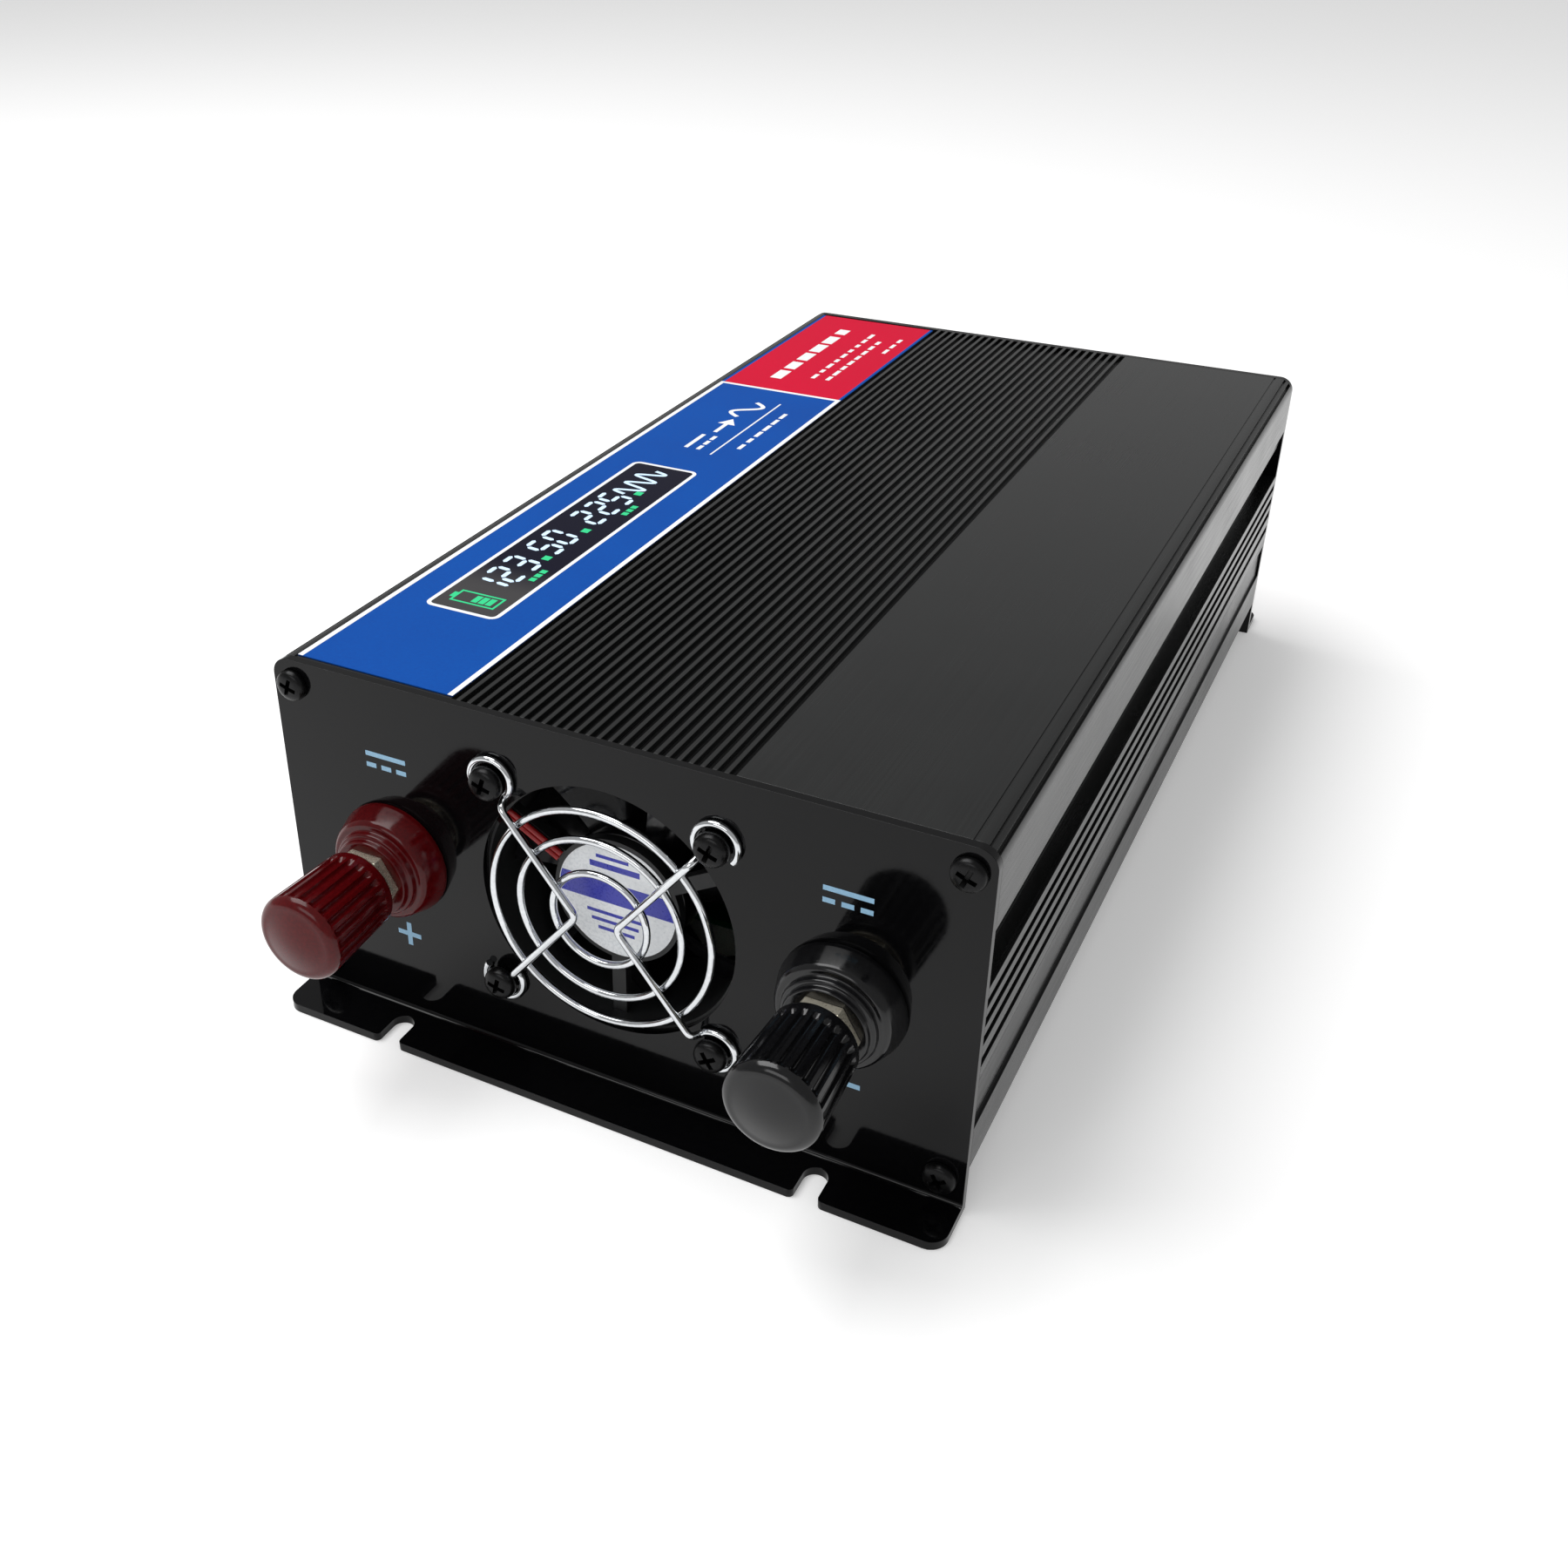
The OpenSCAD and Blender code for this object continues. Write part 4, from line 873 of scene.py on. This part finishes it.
def guard_leg(side):
    """A V-shaped leg: its point is near the middle and its two ends are rolled round the screws."""
    eye_r, inner = 4.6 * MM, 4.5 * MM
    meet = reach - eye_r * cos(pi / 4)
    ends = []
    for up in (-1, 1):
        clockwise = not (side < 0 and up < 0)
        sweep = radians(-262 if clockwise else 250)
        start = radians(225 if up > 0 else 135)
        eye = [Vector((reach + eye_r * cos(start + sweep * i / 30),
                       up * reach + eye_r * sin(start + sweep * i / 30), wire_r)) for i in range(2, 31)]
        tip = Vector((inner, 0, leg_rise))
        foot = Vector((meet, up * meet, leg_rise))
        along = (foot - tip).normalized()
        stepped = foot - along * 1.2 * MM
        landed = Vector((meet, up * meet, wire_r)) + along * 0.1 * MM
        ends.append([stepped, landed] + eye)
    low_end, high_end = ends
    spine = list(reversed(low_end)) + [Vector((inner, 0, leg_rise))] + high_end
    turn = Matrix.Rotation(0 if side > 0 else pi, 4, "Z")
    return [turn @ p for p in bent(spine, 1.7 * MM)]


ring_paths = [(circle_path(r * MM, ring_rise), True) for r in (25, 18.5, 10.75)]
leg_paths = [(guard_leg(side), False) for side in (-1, 1)]
settle(wires("wire_guard", ring_paths + leg_paths, wire_r), "case", ["fan_guard"], chrome)

# ---- Binding posts ----
# Insulated posts for the battery cables: a stepped moulded collar, a plated stud with a nut and a
# washer, and a fluted knob that screws down onto them. Red is positive and black is negative.
red_plastic = finish("glossy red moulded plastic", "#3c0205", "#520508", 0.15, grain_mm=0.7,
                     depth_mm=0.004, specular=0.25, spread=0.05)
black_plastic = finish("glossy black moulded plastic", "#070708", "#0e0e10", 0.16, grain_mm=0.7,
                       depth_mm=0.004, specular=0.4, spread=0.05)
plated_brass = finish("tinned brass", "#cfc8b4", "#e2dcca", 0.3, 0.8, grain_mm=0.4, depth_mm=0.008)
turned_brass = finish("turned brass", "#a8822f", "#c79e46", 0.25, 1.0, grain_mm=0.3, depth_mm=0.006,
                      along=(1, 1, 0.2))
collar_rise = front_face - red_low.y
knob_low, knob_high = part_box("red_knob")
knob_near, knob_far = front_face - knob_high.y, front_face - knob_low.y


def post_collar():
    """The collar's stepped outside, from the panel out to the nut, with a spigot in the panel."""
    r = (red_high.x - red_low.x) / 2
    inside = 4 * MM
    steps = [(inside, -sheet_t), (5.9 * MM, -sheet_t), (5.9 * MM, -0.01 * MM), (r, -0.01 * MM),
             (r, 1.0 * MM), (r - 1.4 * MM, 5.5 * MM), (r - 2.1 * MM, 6.2 * MM), (r - 3.3 * MM, 6.2 * MM),
             (r - 3.5 * MM, 7.6 * MM), (r - 4.3 * MM, 7.8 * MM), (r - 4.5 * MM, collar_rise),
             (inside, collar_rise), (inside, -sheet_t)]
    return turned("collar", softened(steps, 0.35 * MM, 3), 96)


def flutes(count, depth, start, end):
    """A swell that cuts round-ended grooves along a knob between two heights."""
    def swell(angle, height):
        if height <= start or height >= end:
            return 0
        near_end = min(height - start, end - height) / (1.1 * MM)
        fade = sqrt(max(0, 1 - (1 - min(near_end, 1)) ** 2))
        wave = (angle * count / (2 * pi)) % 1
        across = abs(wave - 0.5) / 0.30
        return -depth * fade * sqrt(1 - across ** 2) if across < 1 else 0
    return swell


def post_knob():
    """The knob's outside, closed at its outer end and open towards the panel round the insert."""
    length = knob_far - knob_near
    far_r = (knob_high.x - knob_low.x) / 2
    near_r = far_r - 0.9 * MM
    cap, insert_r, insert_depth = 2.4 * MM, 6 * MM, 11.4 * MM
    grip_end = length - 3.4 * MM
    side = [(near_r + (far_r - near_r) * i / 24, 1.0 * MM + (grip_end - 1.0 * MM) * i / 24)
            for i in range(25)]
    crown = []
    for i in range(1, 15):
        a = radians(90 * i / 14)
        crown.append((far_r - cap + cap * cos(a), grip_end + (cap - 0.2 * MM) * sin(a)))
    top = crown[-1]
    dome = []
    for i in range(1, 9):
        t = i / 8
        dome.append((top[0] * (1 - t), top[1] + (length - top[1]) * sin(t * pi / 2)))
    profile = [(0, insert_depth), (insert_r, insert_depth), (insert_r, 0), (near_r - 0.9 * MM, 0),
               (near_r - 0.25 * MM, 0.25 * MM), (near_r, 0.6 * MM)]
    profile += side + crown + dome[:-1] + [(0, length)]
    return turned("knob", profile, 288, flutes(24, 0.7 * MM, 2.6 * MM, grip_end + 0.2 * MM))


for tone, plastic in (("red", red_plastic), ("black", black_plastic)):
    corner_low, corner_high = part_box(f"{tone}_collar")
    x = (corner_low.x + corner_high.x) / 2
    piece = baked(outward(post_collar(), x, front_face, post_z), f"{tone}_post_collar")
    settle(piece, "case", [f"{tone}_collar"], plastic)
    piece = baked(outward(post_knob(), x, front_face - knob_near, post_z), f"{tone}_post_knob", 40)
    settle(piece, f"{tone}_terminal_knob", [f"{tone}_knob"], plastic)
    dress(turned_brass, f"knob_insert_{tone}")
    settle(broken_edges(f"washer_{tone}", f"{tone}_post_washer", 0.12), f"{tone}_washer",
           [f"washer_{tone}"], plated_brass)
settle(broken_edges("post_nuts", "hexagon_nuts", 0.18), "case", ["post_nuts"],
       plated_brass)
dress(turned_brass, "post_studs")
dress(bright_steel, "post_inner_nuts")
dress(black_plastic, "post_bushes")

# ---- Outlet and switch ----
# A round two-pin mains outlet with a square plate, held by two screws, and a red rocker switch
# that snaps into its own cut-out. Both are black moulded plastic with a fine spark-eroded grain.
moulded_black = finish("black moulded nylon", "#101113", "#1b1c1e", 0.42, grain_mm=0.25, depth_mm=0.015)
red_gloss = finish("glossy red rocker plastic", "#9c0d12", "#b41219", 0.2, grain_mm=0.6, depth_mm=0.003,
                   spread=0.05)
settle(broken_edges("ac_outlet", "mains_outlet", 0.5, 3), "case", ["ac_outlet"],
       moulded_black)
settle(broken_edges("switch_body", "switch_housing", 0.35, 3), "case",
       ["switch_body"], moulded_black)
settle(broken_edges("switch_rocker", "switch_key", 0.3, 3), "rocker", ["switch_rocker"],
       red_gloss)
outlet_screw_low, outlet_screw_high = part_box("outlet_screws")
outlet_head_d, outlet_head_h = 6 * MM, 2 * MM
head = screw_head(outlet_head_d, outlet_head_h)
piece = patterned(
    "outlet_fixings", rows_of_screws,
    facing(False, (outlet_screw_low.x + outlet_screw_high.x) / 2, outlet_screw_high.y - outlet_head_h,
           (outlet_screw_low.z + outlet_screw_high.z) / 2),
    Head=head, Width=outlet_screw_high.x - outlet_screw_low.x - outlet_head_d, Height=0.0, Columns=2,
    Rows=1, Finish=bright_steel)
settle(piece, "case", ["outlet_screws"])
bpy.data.objects.remove(head)


def rocker_marks():
    """The usual line and circle of a switch, printed on the rocker's two faces."""
    body_low, body_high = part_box("switch_body")
    pivot = ((body_low.x + body_high.x) / 2, rear_face - 1.5 * MM, (body_low.z + body_high.z) / 2)
    mid, valley, face_angle, lean = 6.5 * MM, 3 * MM, radians(10), radians(10)
    turn = Matrix.Translation(pivot) @ Matrix.Rotation(lean, 4, "X")
    inner_r, outer_r, sink, count = 1.7 * MM, 2.6 * MM, 0.02 * MM, 28
    circle = []
    for i in range(count):
        a, b = 2 * pi * i / count, 2 * pi * (i + 1) / count
        corners = ((inner_r, a), (outer_r, a), (outer_r, b), (inner_r, b))
        circle.append([(r * cos(t), -mid + r * sin(t)) for r, t in corners])

    def place(u, v, h):
        return tuple(turn @ Vector((-u, valley + abs(v) * tan(face_angle) + h - sink, v)))

    line = bar(-0.5 * MM, mid - outer_r, 0.5 * MM, mid + outer_r)
    return [prisms("rocker_mark_on", [line], place, ink_rise),
            prisms("rocker_mark_off", circle, place, ink_rise)]


for mark in rocker_marks():
    settle(mark, "rocker", [], film_white)

# ---- Parts inside the case ----
# The works behind the vents: glass-fibre boards, ferrite transformers with copper windings,
# electrolytic capacitors in printed sleeves, and transistors clamped to the cover by bars.
dress(finish("green glass-fibre board", "#0b3d22", "#11502d", 0.35, grain_mm=0.5, depth_mm=0.02),
      "main_board", "control_board", "display_board")
dress(finish("sintered ferrite", "#1b1b1d", "#2a2a2c", 0.6, grain_mm=0.3, depth_mm=0.03),
      "transformer_cores")
dress(finish("cream moulded bobbin plastic", "#b9ad8b", "#cfc4a2", 0.45, grain_mm=0.4, depth_mm=0.015),
      "transformer_bobbins")
dress(finish("dark shrink sleeve", "#0c1026", "#141a3a", 0.22, grain_mm=0.8, depth_mm=0.004),
      "input_capacitors", "output_capacitors")
dress(finish("grey silicone pad", "#8b8d8f", "#a3a5a7", 0.7, grain_mm=0.4, depth_mm=0.02),
      "thermal_pads")
dress(finish("drawn aluminium bar", "#9da0a3", "#b7babd", 0.32, 1.0, grain_mm=0.3, depth_mm=0.01,
             along=(1, 0.02, 1)),
      "clamp_bars")
dress(finish("yellow coated iron powder core", "#b78d12", "#d0a41c", 0.5, grain_mm=0.4, depth_mm=0.02),
      "inductor_core")
dress(finish("black epoxy package", "#101112", "#1a1b1c", 0.5, grain_mm=0.3, depth_mm=0.012),
      "transistors")
dress(finish("white insulating paper", "#c9cbc6", "#dedfda", 0.65, grain_mm=0.5, depth_mm=0.02),
      "insulating_sheet")
dress(finish("green blade fuse plastic", "#0f5f2b", "#178040", 0.2, grain_mm=0.6, depth_mm=0.004),
      "fuses")
dress(finish("tinned copper lug", "#a8a29a", "#c2bcb3", 0.28, 1.0, grain_mm=0.4, depth_mm=0.008),
      "post_lugs")
dress(finish("black wire insulation", "#0d0d0e", "#17171a", 0.4, grain_mm=0.5, depth_mm=0.006),
      "dc_lead_black")
dress(finish("blue wire insulation", "#12327e", "#1a4196", 0.4, grain_mm=0.5, depth_mm=0.006),
      "ac_leads")
dress(finish("dark display glass", "#16181c", "#1f2126", 0.12, grain_mm=0.8, depth_mm=0.002),
      "lcd_module")
dress(bright_steel, "display_spacers", "display_screws", "board_standoffs", "board_screws",
      "clamp_screws")
dress(plated_brass, "switch_terminals")
dress(turned_brass, "outlet_contacts")
dress(wound_copper, "transformer_windings", "inductor_winding")
dress(red_sleeve, "dc_lead_red")
